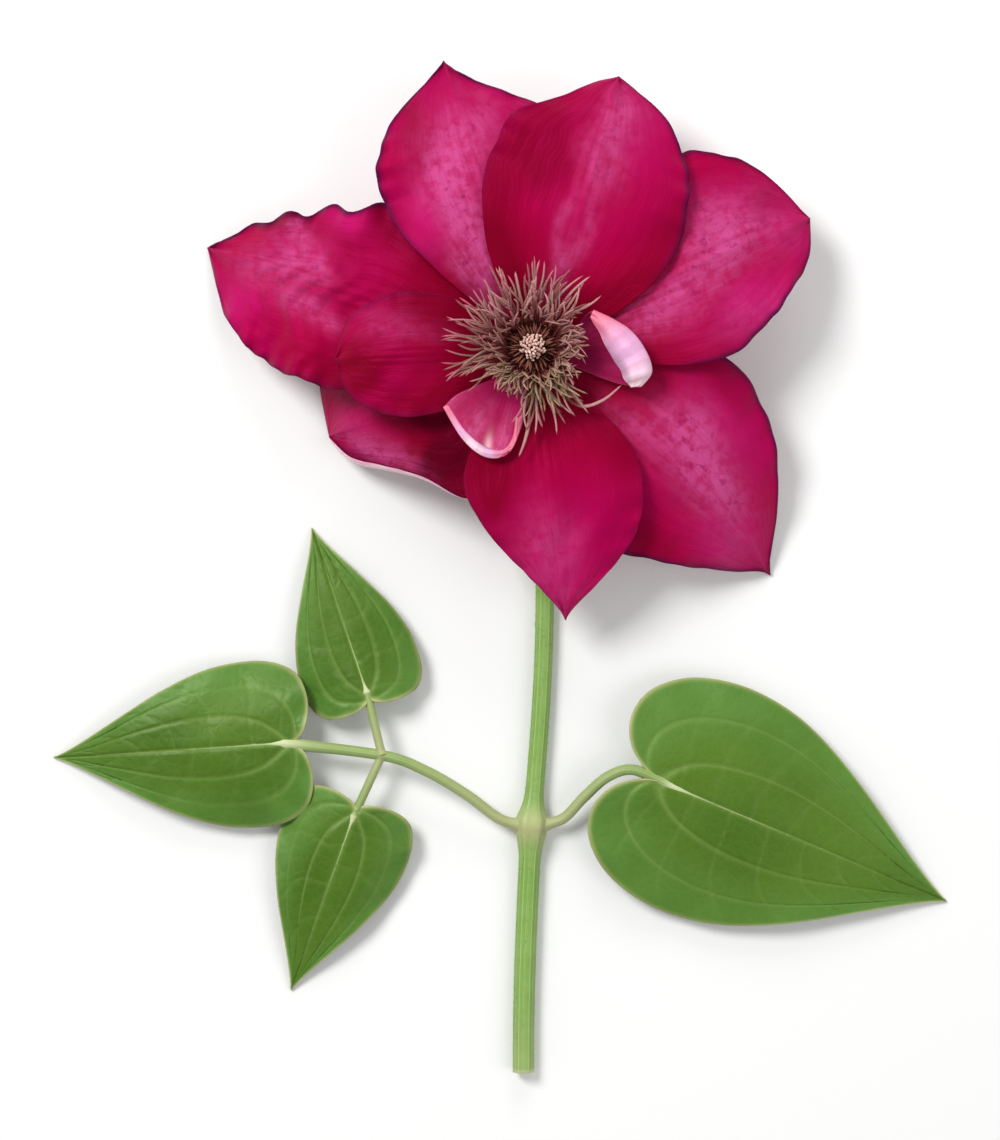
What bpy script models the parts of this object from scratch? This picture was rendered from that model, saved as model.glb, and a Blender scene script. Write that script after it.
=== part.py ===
"""A picked clematis bloom, lying face up with its stalk and one pair of leaves.

The bloom's axis is vertical and its face looks up. The stalk leaves the back of the bloom, bends down
to the surface and runs along -Y to a node, where a simple leaf and a leaf of three leaflets stand
opposite each other. The stem is cut just below that node. The part rests on a small flat under the
node and on the tips of its three lowest tepals.

Sizes below are in millimetres and are turned into Blender's metres where a mesh or curve is made.
Azimuths are in degrees, clockwise from +Y as seen from above.
"""

import math
import random
from dataclasses import dataclass

import bmesh
import bpy
from mathutils import Vector

MM = 0.001

# Driving dimensions
BLADE_THICKNESS = 0.62
SEAT_GAP = 0.3
BLADE_WELD = 0.02
TUBE_WELD = 0.01

RECEPTACLE_RADIUS = 4.9
RECEPTACLE_BOTTOM = 12.3
RECEPTACLE_SHOULDER = 16.4
RECEPTACLE_TOP = 19.2
CORE_RADIUS = 2.7

TEPAL_START = RECEPTACLE_RADIUS + SEAT_GAP
LOWEST_LAYER = 13.0
LAYER_STEP = 1.0
LAYER_SPREAD = 3.0
LAYER_SPREAD_REACH = 50.0
LAYER_SPREAD_POWER = 1.2
SHOULDER_RADIUS = 22.0
SHOULDER_RISE = 2.5
RELIEF_START = 8.0
RELIEF_FULL = 24.0
TIP_CROWDING = 1.4
POINT_POWER = 0.5
POINT_KNEE = 4.0
CLAW_KNEE = 6.0
MARGIN_SHIFT = 1.3
TRIM_FULL = 0.95
FLARE_SHARE = 0.5
FLARE_SPREAD = 0.15
BAR_HEIGHT = 0.45
BAR_SHARE = 0.16
TOUCHING = 0.28

RING_INNER = CORE_RADIUS + SEAT_GAP
RING_OUTER = 5.0
RING_BOTTOM = 16.7
RING_TOP = 18.9
STAMEN_COUNT = 60
STAMEN_SEED = 11
STAMEN_ROOT = 4.1
STAMEN_RADII = (0.50, 0.38, 0.38, 0.60, 0.56, 0.26)
WHORLS = ((8.0, 26.8), (11.6, 25.7), (15.8, 23.6))
WHORL_SCATTER = 1.4
STAMEN_LIMIT = 17.5
STAMEN_LIMIT_AT_PETALOID = 10.5
STAMEN_EXTRA_HEIGHT = 2.2
PETALOID_SECTORS = ((46.0, 138.0), (172.0, 245.0))

STYLE_COUNT = 18
STYLE_SEED = 7
STYLE_SPREAD = 1.5
STYLE_HEIGHT = 6.6
STYLE_TURN = 137.5
STYLE_RADII = (0.40, 0.36, 0.30)
STYLE_CORE = ((0.0, 2.2), (2.4, 1.9), (4.2, 1.0))

STALK_RADIUS = 1.7
STEM_RADIUS = 2.0
NODE_RADIUS = 3.1
NODE_HEIGHT = 2.55
NODE_LENGTH = 3.6
NODE_BLEND = 6.0
NODE_Y = -92.0
CUT_Y = -140.0
BEND_RADIUS = 7.0
BEND_STEPS = 6
STALK_STEPS = 22
STALK_HEIGHT = 2.05
STALK_CURVE = 2.6
STEM_CURVE = 1.56

TEPAL_ROWS = 16
TEPAL_COLUMNS = 8
PETALOID_ROWS = 14
PETALOID_COLUMNS = 6
LEAF_ROWS = 14
LEAF_COLUMNS = 8

LOBE_END = 0.22
SIDE_END = 0.45
LEAF_WAVES = 2.6
LEAF_WAVE_SHIFT = 1.7
ARCH_POWER = 1.8
PETIOLE_STEPS = 14
MIDRIB_STEPS = 6
MIDRIB_START = 0.04
MIDRIB_END = 0.62
MIDRIB_SINK = 0.42
MIDRIB_RADII = (0.95, 0.53)

TEPAL_COLOUR = (0.47, 0.008, 0.095)
PETALOID_COLOUR = (0.72, 0.30, 0.42)
STAMEN_COLOUR = (0.21, 0.105, 0.085)
STYLE_COLOUR = (0.50, 0.34, 0.26)
STALK_COLOUR = (0.20, 0.33, 0.09)
LEAF_COLOUR = (0.07, 0.17, 0.03)


@dataclass(frozen=True)
class Tepal:
    """One tepal: its outline in plan from the bloom's axis, and its relief.

    widest is the share of the length at which it is widest. taper below 1 rounds it beyond that, and
    point is the last share of the length, which narrows to a point. trim draws in the outer part of the
    margin of lower azimuth by that share, or of the other margin below 0, from trim_start on, and flare
    widens the middle of the same margin. claw limits the half width to that share of the radius. cup
    lifts both margins, or lowers them below 0, and roll lifts the margin of lower azimuth only.
    """

    name: str
    azimuth: float
    length: float
    width: float
    widest: float
    taper: float
    layer: int
    tip_height: float
    sweep: float = 0.0
    trim: float = 0.0
    trim_start: float = 0.35
    flare: float = 0.0
    point: float = 0.11
    claw: float = 0.86
    cup: float = 0.0
    roll: float = 0.0
    ruffle: float = 0.8
    waves: float = 3.0
    phase: float = 0.0


TEPALS = (
    Tepal("tepal_1", -17.0, 58.0, 39.0, 0.60, 0.80, 2, 12.0, trim=-0.5, trim_start=0.68, point=0.12,
          claw=0.76, cup=0.5, ruffle=1.0, phase=0.1),
    Tepal("tepal_2", 21.0, 54.2, 39.5, 0.56, 0.56, 3, 17.0, sweep=-3.2, trim=0.45, trim_start=0.72,
          point=0.05, claw=1.2, cup=-0.7, ruffle=0.6, waves=2.5, phase=0.4),
    Tepal("tepal_3", 61.5, 59.0, 44.0, 0.62, 0.58, 2, 11.0, sweep=3.2, trim=-0.4, point=0.04, claw=0.76,
          cup=0.4, phase=0.7),
    Tepal("tepal_4", 126.0, 63.0, 46.0, 0.50, 0.85, 1, TOUCHING, sweep=7.4, trim=-0.4, cup=-0.6,
          waves=2.6, phase=0.2),
    Tepal("tepal_5", 172.0, 52.0, 36.5, 0.50, 0.90, 2, 12.0, sweep=0.8, trim=-0.46, point=0.16, cup=0.6,
          ruffle=0.6, waves=2.2, phase=0.9),
    Tepal("tepal_6", 248.0, 42.5, 41.0, 0.60, 0.46, 0, TOUCHING, trim=0.45, flare=0.36, point=0.05,
          claw=1.1, cup=0.5, roll=2.2, ruffle=0.5, waves=2.0),
    Tepal("tepal_7", 267.0, 37.5, 24.0, 0.58, 0.46, 3, 17.0, point=0.04, cup=-0.7, ruffle=0.3, waves=2.0,
          phase=0.3),
    Tepal("tepal_8", 287.0, 66.5, 38.0, 0.58, 0.60, 1, TOUCHING, sweep=1.4, trim=-0.42, cup=0.2,
          ruffle=1.5, waves=4.5, phase=0.55),
)


@dataclass(frozen=True)
class Petaloid:
    """A half-formed tepal beside the stamens: a narrow claw and a spoon whose end curls back over it.

    fold lists points of the line where the blade turns back, and margin those of its curled edge, both
    seen from above and from the side of lower azimuth to the other. heights are those of the claw, of
    two places along the blade and of the fold. rise lifts the curled edge, rim lifts both sides, and
    bulge widens the blade.
    """

    name: str
    azimuth: float
    fold: tuple
    margin: tuple
    heights: tuple
    rise: float
    rim: float
    bulge: float
    claw_width: float = 2.4


PETALOIDS = (
    Petaloid("petaloid_1", 100.0,
             ((11.4, 6.8), (15.0, 5.2), (18.6, 2.8), (21.2, -0.8), (22.3, -4.6), (20.2, -7.4)),
             ((11.0, 5.5), (12.4, 2.7), (14.3, -0.6), (16.3, -3.7), (17.4, -6.2), (18.7, -7.5)),
             (17.0, 18.7, 20.9, 22.8), rise=1.0, rim=0.5, bulge=0.8),
    Petaloid("petaloid_2", 207.0,
             ((-2.6, -13.4), (-3.2, -17.6), (-5.4, -20.3), (-9.2, -20.2), (-13.1, -16.9), (-16.6, -11.1)),
             ((-4.0, -12.8), (-4.8, -16.7), (-6.2, -19.0), (-9.0, -18.7), (-12.4, -16.1), (-16.0, -10.9)),
             (17.0, 18.6, 20.2, 21.4), rise=1.2, rim=0.9, bulge=1.0),
)
CURL_SHARE = 0.3
CLAW_STATIONS = (0.35, 0.74)


@dataclass(frozen=True)
class Leaflet:
    """One leaf blade: where its base stands, which way it points, and its outline and arch."""

    base: tuple
    azimuth: float
    length: float
    width: float
    lobe: float
    lift: float
    tip_height: float = 0.4
    side_drop: float = 0.55
    ruffle: float = 0.7
    phase: float = 0.0


SIMPLE_BLADE = Leaflet((25.0, -83.0), 113.0, 61.0, 46.0, 0.15, 7.5, phase=0.2)
TERNATE_BLADES = (
    Leaflet((-46.5, -75.5), 266.0, 47.0, 32.0, 0.07, 7.0, phase=0.5),
    Leaflet((-31.5, -67.0), 341.0, 35.0, 23.5, 0.05, 6.5, phase=0.9),
    Leaflet((-34.0, -88.5), 200.0, 38.0, 25.5, 0.05, 6.5, phase=0.3),
)
SIMPLE_PETIOLE = ((6.2, -90.4, 3.6), (10.2, -86.2, 4.9), (14.7, -82.2, 6.1), (19.8, -80.8, 6.9))
TERNATE_PETIOLE = ((-6.4, -90.4, 3.6), (-12.8, -85.6, 4.9), (-20.6, -81.0, 6.0))
TERNATE_FORK = (-29.0, -78.0, 6.4)
PETIOLE_RADIUS = 1.0
PETIOLULE_RADIUS = 0.8


def heading(azimuth):
    """Return the unit vectors along an azimuth and to its clockwise side, seen from above."""
    angle = math.radians(azimuth)
    along = Vector((math.sin(angle), math.cos(angle), 0.0))
    across = Vector((math.cos(angle), -math.sin(angle), 0.0))
    return along, across


def smooth_step(value, start, end):
    """Return 0 before start, 1 after end and a smooth rise between them."""
    share = min(1.0, max(0.0, (value - start) / (end - start)))
    return share * share * (3.0 - 2.0 * share)


def mix_points(points, share):
    """Return the point at a share (0 to 1) of a smooth curve through a list of points."""
    vectors = [Vector(point) for point in points]
    spans = len(vectors) - 1
    span = min(int(share * spans), spans - 1)
    local = share * spans - span
    before = vectors[max(span - 1, 0)]
    start = vectors[span]
    end = vectors[span + 1]
    after = vectors[min(span + 2, spans)]
    return 0.5 * (
        2.0 * start
        + (end - before) * local
        + (2.0 * before - 5.0 * start + 4.0 * end - after) * local ** 2
        + (3.0 * start - before - 3.0 * end + after) * local ** 3
    )


def new_material(name, colour, roughness):
    """Return a Principled BSDF material with one colour and roughness."""
    material = bpy.data.materials.new(name)
    material.use_nodes = True
    shader = material.node_tree.nodes["Principled BSDF"]
    shader.inputs["Base Color"].default_value = (*colour, 1.0)
    shader.inputs["Roughness"].default_value = roughness
    shader.inputs["Metallic"].default_value = 0.0
    return material


def add_object(name, mesh, material, collection):
    """Link a new object with a mesh and a material, and return it."""
    mesh.name = name
    mesh.materials.clear()
    mesh.materials.append(material)
    piece = bpy.data.objects.new(name, mesh)
    collection.objects.link(piece)
    return piece


def blade_mesh(name, rows, columns, place):
    """Return a closed blade: a grid shaped by place(u, v), split into triangles and given a thickness.

    u runs from the base (0) to the tip (1), and v across from -1 to 1. Rows whose points meet, such as
    at a pointed tip, are merged.
    """
    bm = bmesh.new()
    bmesh.ops.create_grid(bm, x_segments=columns, y_segments=rows, size=1.0)
    for vertex in bm.verts:
        vertex.co = place(0.5 * (vertex.co.y + 1.0), vertex.co.x) * MM
    bmesh.ops.remove_doubles(bm, verts=bm.verts, dist=BLADE_WELD * MM)
    bmesh.ops.triangulate(bm, faces=bm.faces)
    bmesh.ops.recalc_face_normals(bm, faces=bm.faces)
    if sum(face.normal.z * face.calc_area() for face in bm.faces) < 0.0:
        bmesh.ops.reverse_faces(bm, faces=bm.faces)
    sheet = bpy.data.meshes.new(name)
    bm.to_mesh(sheet)
    bm.free()
    return thicken(sheet)


def thicken(sheet):
    """Return the closed mesh of an open sheet with the blade thickness on both sides of it."""
    carrier = bpy.data.objects.new(sheet.name, sheet)
    bpy.context.scene.collection.objects.link(carrier)
    solidify = carrier.modifiers.new("thickness", "SOLIDIFY")
    solidify.thickness = BLADE_THICKNESS * MM
    solidify.offset = 0.0
    closed = evaluated_mesh(carrier)
    bpy.data.objects.remove(carrier)
    bpy.data.meshes.remove(sheet)
    return closed


def evaluated_mesh(piece):
    """Return a new mesh of an object as its modifiers or its curve make it."""
    bpy.context.view_layer.update()
    graph = bpy.context.evaluated_depsgraph_get()
    return bpy.data.meshes.new_from_object(piece.evaluated_get(graph))


def tube_mesh(name, points, radii, sides_resolution=2):
    """Return a closed tube through points, with one radius for each point and flat welded ends."""
    curve = bpy.data.curves.new(name, "CURVE")
    curve.dimensions = "3D"
    curve.bevel_depth = MM
    curve.bevel_resolution = sides_resolution
    curve.use_fill_caps = True
    spline = curve.splines.new("POLY")
    spline.points.add(len(points) - 1)
    for slot, point, radius in zip(spline.points, points, radii):
        slot.co = (*(Vector(point) * MM), 1.0)
        slot.radius = radius
    carrier = bpy.data.objects.new(name, curve)
    bpy.context.scene.collection.objects.link(carrier)
    mesh = evaluated_mesh(carrier)
    bpy.data.objects.remove(carrier)
    bpy.data.curves.remove(curve)
    bm = bmesh.new()
    bm.from_mesh(mesh)
    bmesh.ops.remove_doubles(bm, verts=bm.verts, dist=TUBE_WELD * MM)
    bmesh.ops.recalc_face_normals(bm, faces=bm.faces)
    bm.to_mesh(mesh)
    bm.free()
    return mesh


def union_mesh(name, base_mesh, added_meshes):
    """Return one mesh that is the union of a closed mesh and a list of closed meshes."""
    cutters = bpy.data.collections.new(name + "_pieces")
    bpy.context.scene.collection.children.link(cutters)
    for index, mesh in enumerate(added_meshes):
        piece = bpy.data.objects.new(f"{name}_piece_{index}", mesh)
        piece.hide_render = True
        piece.display_type = "WIRE"
        cutters.objects.link(piece)
    carrier = bpy.data.objects.new(name, base_mesh)
    bpy.context.scene.collection.objects.link(carrier)
    union = carrier.modifiers.new("union", "BOOLEAN")
    union.operation = "UNION"
    union.operand_type = "COLLECTION"
    union.collection = cutters
    union.solver = "MANIFOLD"
    joined = evaluated_mesh(carrier)
    for piece in list(cutters.objects):
        bpy.data.objects.remove(piece)
    bpy.data.collections.remove(cutters)
    bpy.data.objects.remove(carrier)
    return joined


def tepal_half_width(tepal, radius):
    """Return half the width of a tepal at a distance along its midline."""
    share = min(1.0, radius / tepal.length)
    base_power = tepal.taper * tepal.widest / (1.0 - tepal.widest)
    outline = ((1.0 - share) / (1.0 - tepal.widest)) ** tepal.taper * (share / tepal.widest) ** base_power
    closing = (1.0 - share) / tepal.point
    drawn_in = (closing / (1.0 + closing ** POINT_KNEE) ** (1.0 / POINT_KNEE)) ** POINT_POWER
    free = 0.5 * tepal.width * outline * drawn_in
    limit = tepal.claw * radius
    return free * limit / (free ** CLAW_KNEE + limit ** CLAW_KNEE) ** (1.0 / CLAW_KNEE)


def sheet_height(layer, radius, fall):
    """Return the height of a layer's dome at a radius, before any cupping or ruffles."""
    reach = max(0.0, radius - TEPAL_START)
    rise = SHOULDER_RISE * math.sin(0.5 * math.pi * min(1.0, reach / (SHOULDER_RADIUS - TEPAL_START)))
    spread = layer * LAYER_SPREAD * (reach / LAYER_SPREAD_REACH) ** LAYER_SPREAD_POWER
    drop = fall * max(0.0, radius - SHOULDER_RADIUS) ** 2
    return LOWEST_LAYER + layer * LAYER_STEP + rise + spread - drop


def tepal_place(tepal):
    """Return the function that places a point (u, v) of a tepal's middle surface."""
    along, across = heading(tepal.azimuth)
    tip_radius = math.hypot(tepal.length, tepal.sweep)
    flat_tip = sheet_height(tepal.layer, tip_radius, 0.0)
    fall = (flat_tip - tepal.tip_height) / (tip_radius - SHOULDER_RADIUS) ** 2

    def place(u, v):
        run = 1.0 - (1.0 - u) ** TIP_CROWDING
        distance = TEPAL_START + (tepal.length - TEPAL_START) * run
        half = tepal_half_width(tepal, distance)
        if v * tepal.trim < 0.0:
            share = distance / tepal.length
            half *= 1.0 - abs(tepal.trim) * smooth_step(share, tepal.trim_start, TRIM_FULL)
            half *= 1.0 + tepal.flare * math.exp(-(((share - FLARE_SHARE) / FLARE_SPREAD) ** 2))
        offset = v * half + tepal.sweep * run ** 2
        spot = along * distance + across * offset
        radius = math.hypot(spot.x, spot.y)
        ramp = smooth_step(radius, RELIEF_START, RELIEF_FULL)
        edge = v * v * 2.0 * half / tepal.width
        shift = MARGIN_SHIFT if v > 0.0 else 0.0
        wave = math.sin(2.0 * math.pi * (tepal.waves * run + tepal.phase) + shift)
        relief = tepal.cup * edge + tepal.ruffle * edge * wave
        relief += tepal.roll * max(0.0, -v) ** 3 * 2.0 * half / tepal.width
        relief += BAR_HEIGHT * math.exp(-((v / BAR_SHARE) ** 2))
        spot.z = sheet_height(tepal.layer, radius, fall) + ramp * relief
        return spot

    return place


def petaloid_place(petaloid):
    """Return the function that places a point (u, v) of a petaloid's middle surface."""
    along, across = heading(petaloid.azimuth)
    up = Vector((0.0, 0.0, 1.0))
    low, first, second, high = petaloid.heights

    def place(u, v):
        share = 0.5 * (v + 1.0)
        fold = mix_points([(x, y, 0.0) for x, y in petaloid.fold], share)
        margin = mix_points([(x, y, 0.0) for x, y in petaloid.margin], share)
        claw = along * TEPAL_START + across * (0.5 * petaloid.claw_width * v)
        side = across * (petaloid.bulge * v) + up * (petaloid.rim * v * v)
        edge_height = high + petaloid.rise + CURL_SHARE * (fold - margin).length
        stations = (
            claw + up * low,
            claw.lerp(fold, CLAW_STATIONS[0]) + up * first + side * 0.6,
            claw.lerp(fold, CLAW_STATIONS[1]) + up * second + side,
            fold + up * (high + 0.5 * petaloid.rim * v * v),
            fold.lerp(margin, 0.5) + up * edge_height,
            margin + up * edge_height,
        )
        return mix_points(stations, u)

    return place


def stamen_path(azimuth, spread, reach, height):
    """Return the points of one stamen's midline, from its root in the ring to its tip."""
    along, across = heading(azimuth)
    root = along * STAMEN_ROOT + Vector((0.0, 0.0, RING_TOP - 1.0))
    knee = along * (STAMEN_ROOT + 0.3 + 0.32 * (reach - STAMEN_ROOT)) + Vector((0.0, 0.0, height - 0.6))
    tip = along * reach + across * spread + Vector((0.0, 0.0, height))
    points = []
    for step in range(len(STAMEN_RADII)):
        share = step / (len(STAMEN_RADII) - 1)
        points.append(root * (1.0 - share) ** 2 + knee * 2.0 * share * (1.0 - share) + tip * share ** 2)
    return points


def stamen_limit(azimuth):
    """Return how far out a stamen may reach at an azimuth, which is less beside a petaloid."""
    for start, end in PETALOID_SECTORS:
        if start < azimuth % 360.0 < end:
            return STAMEN_LIMIT_AT_PETALOID
    return STAMEN_LIMIT


def ring_mesh(name, inner, outer, bottom, top):
    """Return a closed ring made from a profile turned about the bloom's axis."""
    bm = bmesh.new()
    corners = ((inner, bottom), (outer, bottom), (outer, top), (inner, top))
    profile = [bm.verts.new((radius * MM, 0.0, height * MM)) for radius, height in corners]
    edges = [bm.edges.new(pair) for pair in zip(profile, profile[1:] + profile[:1])]
    bmesh.ops.spin(bm, geom=profile + edges, cent=(0.0, 0.0, 0.0), axis=(0.0, 0.0, 1.0), angle=2.0 * math.pi,
                   steps=24, use_merge=True)
    bmesh.ops.remove_doubles(bm, verts=bm.verts, dist=TUBE_WELD * MM)
    bmesh.ops.recalc_face_normals(bm, faces=bm.faces)
    mesh = bpy.data.meshes.new(name)
    bm.to_mesh(mesh)
    bm.free()
    return mesh


def stamens_mesh():
    """Return the ring of stamens as one body: an incurved inner whorl and spreading outer ones."""
    draw = random.Random(STAMEN_SEED)
    pieces = []
    for index in range(STAMEN_COUNT):
        reach, height = WHORLS[index % len(WHORLS)]
        azimuth = 360.0 * index / STAMEN_COUNT + draw.uniform(-2.0, 2.0)
        reach += draw.uniform(-WHORL_SCATTER, WHORL_SCATTER)
        height += draw.uniform(-0.9, 0.9)
        limit = stamen_limit(azimuth)
        if reach > limit:
            reach = limit - draw.uniform(0.0, 1.2)
            height += STAMEN_EXTRA_HEIGHT
        points = stamen_path(azimuth, draw.uniform(-1.6, 1.6), reach, height)
        pieces.append(tube_mesh("stamen", points, STAMEN_RADII, sides_resolution=0))
    ring = ring_mesh("stamen_ring", RING_INNER, RING_OUTER, RING_BOTTOM, RING_TOP)
    return union_mesh("stamens", ring, pieces)


def styles_mesh():
    """Return the tuft of styles as one body: a short core with styles that bend out at their tips."""
    draw = random.Random(STYLE_SEED)
    base = RECEPTACLE_TOP + SEAT_GAP
    core_points = [(0.0, 0.0, base + rise) for rise, _ in STYLE_CORE]
    core = tube_mesh("style_core", core_points, [radius for _, radius in STYLE_CORE])
    pieces = []
    for index in range(STYLE_COUNT):
        along, _ = heading(STYLE_TURN * index + draw.uniform(-8.0, 8.0))
        start = STYLE_SPREAD * math.sqrt((index + 0.5) / STYLE_COUNT)
        flare = start + 0.5 + draw.uniform(0.0, 0.4)
        top = base + STYLE_HEIGHT - 0.8 * start + draw.uniform(-0.3, 0.3)
        points = [
            along * start + Vector((0.0, 0.0, base + 1.6)),
            along * start + Vector((0.0, 0.0, top - 1.6)),
            along * flare + Vector((0.0, 0.0, top)),
        ]
        pieces.append(tube_mesh("style", points, STYLE_RADII, sides_resolution=0))
    return union_mesh("styles", core, pieces)


def stalk_side(y):
    """Return how far the stalk's gentle curve stands off the middle at a place along it."""
    return (STALK_CURVE if y > NODE_Y else STEM_CURVE) * math.sin(math.pi * y / NODE_Y)


def stalk_mesh():
    """Return the receptacle, the bent flower stalk, the node and the cut stem as one body.

    A flat is cut under the node, on the surface that the part lies on.
    """
    profile = (
        (RECEPTACLE_TOP, CORE_RADIUS - 0.8),
        (RECEPTACLE_TOP - 0.5, CORE_RADIUS),
        (RECEPTACLE_SHOULDER + 0.1, CORE_RADIUS),
        (RECEPTACLE_SHOULDER - 0.1, RECEPTACLE_RADIUS),
        (RECEPTACLE_BOTTOM, RECEPTACLE_RADIUS),
        (RECEPTACLE_BOTTOM - 1.1, 3.0),
        (RECEPTACLE_BOTTOM - 2.2, 2.0),
    )
    points = [(0.0, 0.0, height) for height, _ in profile]
    radii = [radius for _, radius in profile]
    for step in range(BEND_STEPS + 1):
        angle = 0.5 * math.pi * step / BEND_STEPS
        drop = BEND_RADIUS * math.sin(angle)
        points.append((0.0, -BEND_RADIUS * (1.0 - math.cos(angle)), STALK_HEIGHT + BEND_RADIUS - drop))
        radii.append(STALK_RADIUS)
    for step in range(1, STALK_STEPS + 1):
        y = -BEND_RADIUS + (CUT_Y + BEND_RADIUS) * step / STALK_STEPS
        near_node = math.exp(-(((y - NODE_Y) / NODE_LENGTH) ** 2))
        past_node = smooth_step(-y, -NODE_Y - NODE_BLEND, -NODE_Y + NODE_BLEND)
        plain = STALK_RADIUS + (STEM_RADIUS - STALK_RADIUS) * past_node
        points.append((stalk_side(y), y, STALK_HEIGHT + (NODE_HEIGHT - STALK_HEIGHT) * near_node))
        radii.append(plain + (NODE_RADIUS - plain) * near_node)
    return cut_below_surface(tube_mesh("flower_stalk", points, radii, sides_resolution=4))


def cut_below_surface(mesh):
    """Return the mesh with what is below z = 0 cut off, and a flat face closing the cut."""
    bm = bmesh.new()
    bm.from_mesh(mesh)
    everything = list(bm.verts) + list(bm.edges) + list(bm.faces)
    down = (0.0, 0.0, -1.0)
    cut = bmesh.ops.bisect_plane(bm, geom=everything, plane_co=(0.0, 0.0, 0.0), plane_no=down,
                                 clear_outer=True)
    edges = [item for item in cut["geom_cut"] if isinstance(item, bmesh.types.BMEdge)]
    bmesh.ops.edgeloop_fill(bm, edges=edges)
    bmesh.ops.recalc_face_normals(bm, faces=bm.faces)
    bm.to_mesh(mesh)
    bm.free()
    return mesh


def bezier(points, share):
    """Return the point at a share of a cubic Bezier curve."""
    rest = 1.0 - share
    weights = (rest ** 3, 3.0 * rest ** 2 * share, 3.0 * rest * share ** 2, share ** 3)
    return (sum(w * p[0] for w, p in zip(weights, points)), sum(w * p[1] for w, p in zip(weights, points)))


def leaf_margin(leaflet, share):
    """Return (across, along) of a blade's margin, from the notch at its base (0) to its tip (1)."""
    width, length, lobe = leaflet.width, leaflet.length, leaflet.lobe
    lobe_curve = ((0.0, 0.0), (0.03, -lobe), (0.22, -1.45 * lobe), (0.36, -0.85 * lobe))
    side_curve = (lobe_curve[3], (0.47, -0.38 * lobe), (0.52, 0.08), (0.50, 0.22))
    tip_curve = (side_curve[3], (0.475, 0.49), (0.12, 0.78), (0.0, 1.0))
    if share < LOBE_END:
        across, along = bezier(lobe_curve, share / LOBE_END)
    elif share < SIDE_END:
        across, along = bezier(side_curve, (share - LOBE_END) / (SIDE_END - LOBE_END))
    else:
        across, along = bezier(tip_curve, (share - SIDE_END) / (1.0 - SIDE_END))
    return across * width, along * length


def leaf_place(leaflet):
    """Return the function that places a point (u, v) of a blade's middle surface.

    Lines of equal v run from the notch to the tip, as the main veins do.
    """
    along, across = heading(leaflet.azimuth)
    base = Vector((*leaflet.base, 0.0))

    def place(u, v):
        margin_x, margin_y = leaf_margin(leaflet, u)
        x = v * margin_x
        y = (1.0 - abs(v)) * leaflet.length * u + abs(v) * margin_y
        spot = base + across * x + along * y
        run = max(0.0, y / leaflet.length)
        side = (2.0 * x / leaflet.width) ** 2
        rise = leaflet.lift - leaflet.tip_height
        arch = rise * (1.0 - run ** ARCH_POWER) * (1.0 - leaflet.side_drop * side)
        shift = LEAF_WAVE_SHIFT if v > 0.0 else 0.0
        wave = math.sin(2.0 * math.pi * (LEAF_WAVES * u + leaflet.phase) + shift)
        spot.z = leaflet.tip_height + arch + leaflet.ruffle * side * wave * (1.0 - run)
        return spot

    return place


def midrib_points(leaflet):
    """Return points along the underside of a blade's midrib, to follow the petiole's own points."""
    place = leaf_place(leaflet)
    points = []
    for step in range(MIDRIB_STEPS):
        share = step / (MIDRIB_STEPS - 1)
        spot = place(MIDRIB_START + (MIDRIB_END - MIDRIB_START) * share, 0.0)
        spot.z -= MIDRIB_SINK
        points.append(spot)
    return points


def stalked_blade(leaflet, path, radius):
    """Return the meshes of a blade and of the leafstalk that runs on as its midrib."""
    blade = blade_mesh("blade", LEAF_ROWS, LEAF_COLUMNS, leaf_place(leaflet))
    rib = midrib_points(leaflet)
    approach = [mix_points([*path, tuple(rib[0])], step / PETIOLE_STEPS) for step in range(PETIOLE_STEPS)]
    wide, slim = MIDRIB_RADII
    radii = [radius] * len(approach)
    radii += [radius * (wide + (slim - wide) * step / (MIDRIB_STEPS - 1)) for step in range(MIDRIB_STEPS)]
    return blade, tube_mesh("leafstalk", approach + rib, radii, sides_resolution=1)


def simple_leaf_mesh():
    """Return the simple leaf, its heart-shaped blade and its leafstalk as one body."""
    start = (NODE_RADIUS + SEAT_GAP, NODE_Y + 0.5, NODE_HEIGHT + 0.4)
    blade, leafstalk = stalked_blade(SIMPLE_BLADE, [start, *SIMPLE_PETIOLE], PETIOLE_RADIUS)
    return union_mesh("leaf_simple", blade, [leafstalk])


def ternate_leaf_mesh():
    """Return the leaf of three leaflets, with its leafstalk and its three short stalks, as one body."""
    start = (-NODE_RADIUS - SEAT_GAP, NODE_Y + 0.5, NODE_HEIGHT + 0.4)
    end_blade, side_blade, low_blade = TERNATE_BLADES
    blade, leafstalk = stalked_blade(end_blade, [start, *TERNATE_PETIOLE, TERNATE_FORK], PETIOLE_RADIUS)
    pieces = [leafstalk]
    for leaflet in (side_blade, low_blade):
        pieces += stalked_blade(leaflet, [TERNATE_FORK], PETIOLULE_RADIUS)
    return union_mesh("leaf_ternate", blade, pieces)


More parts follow.
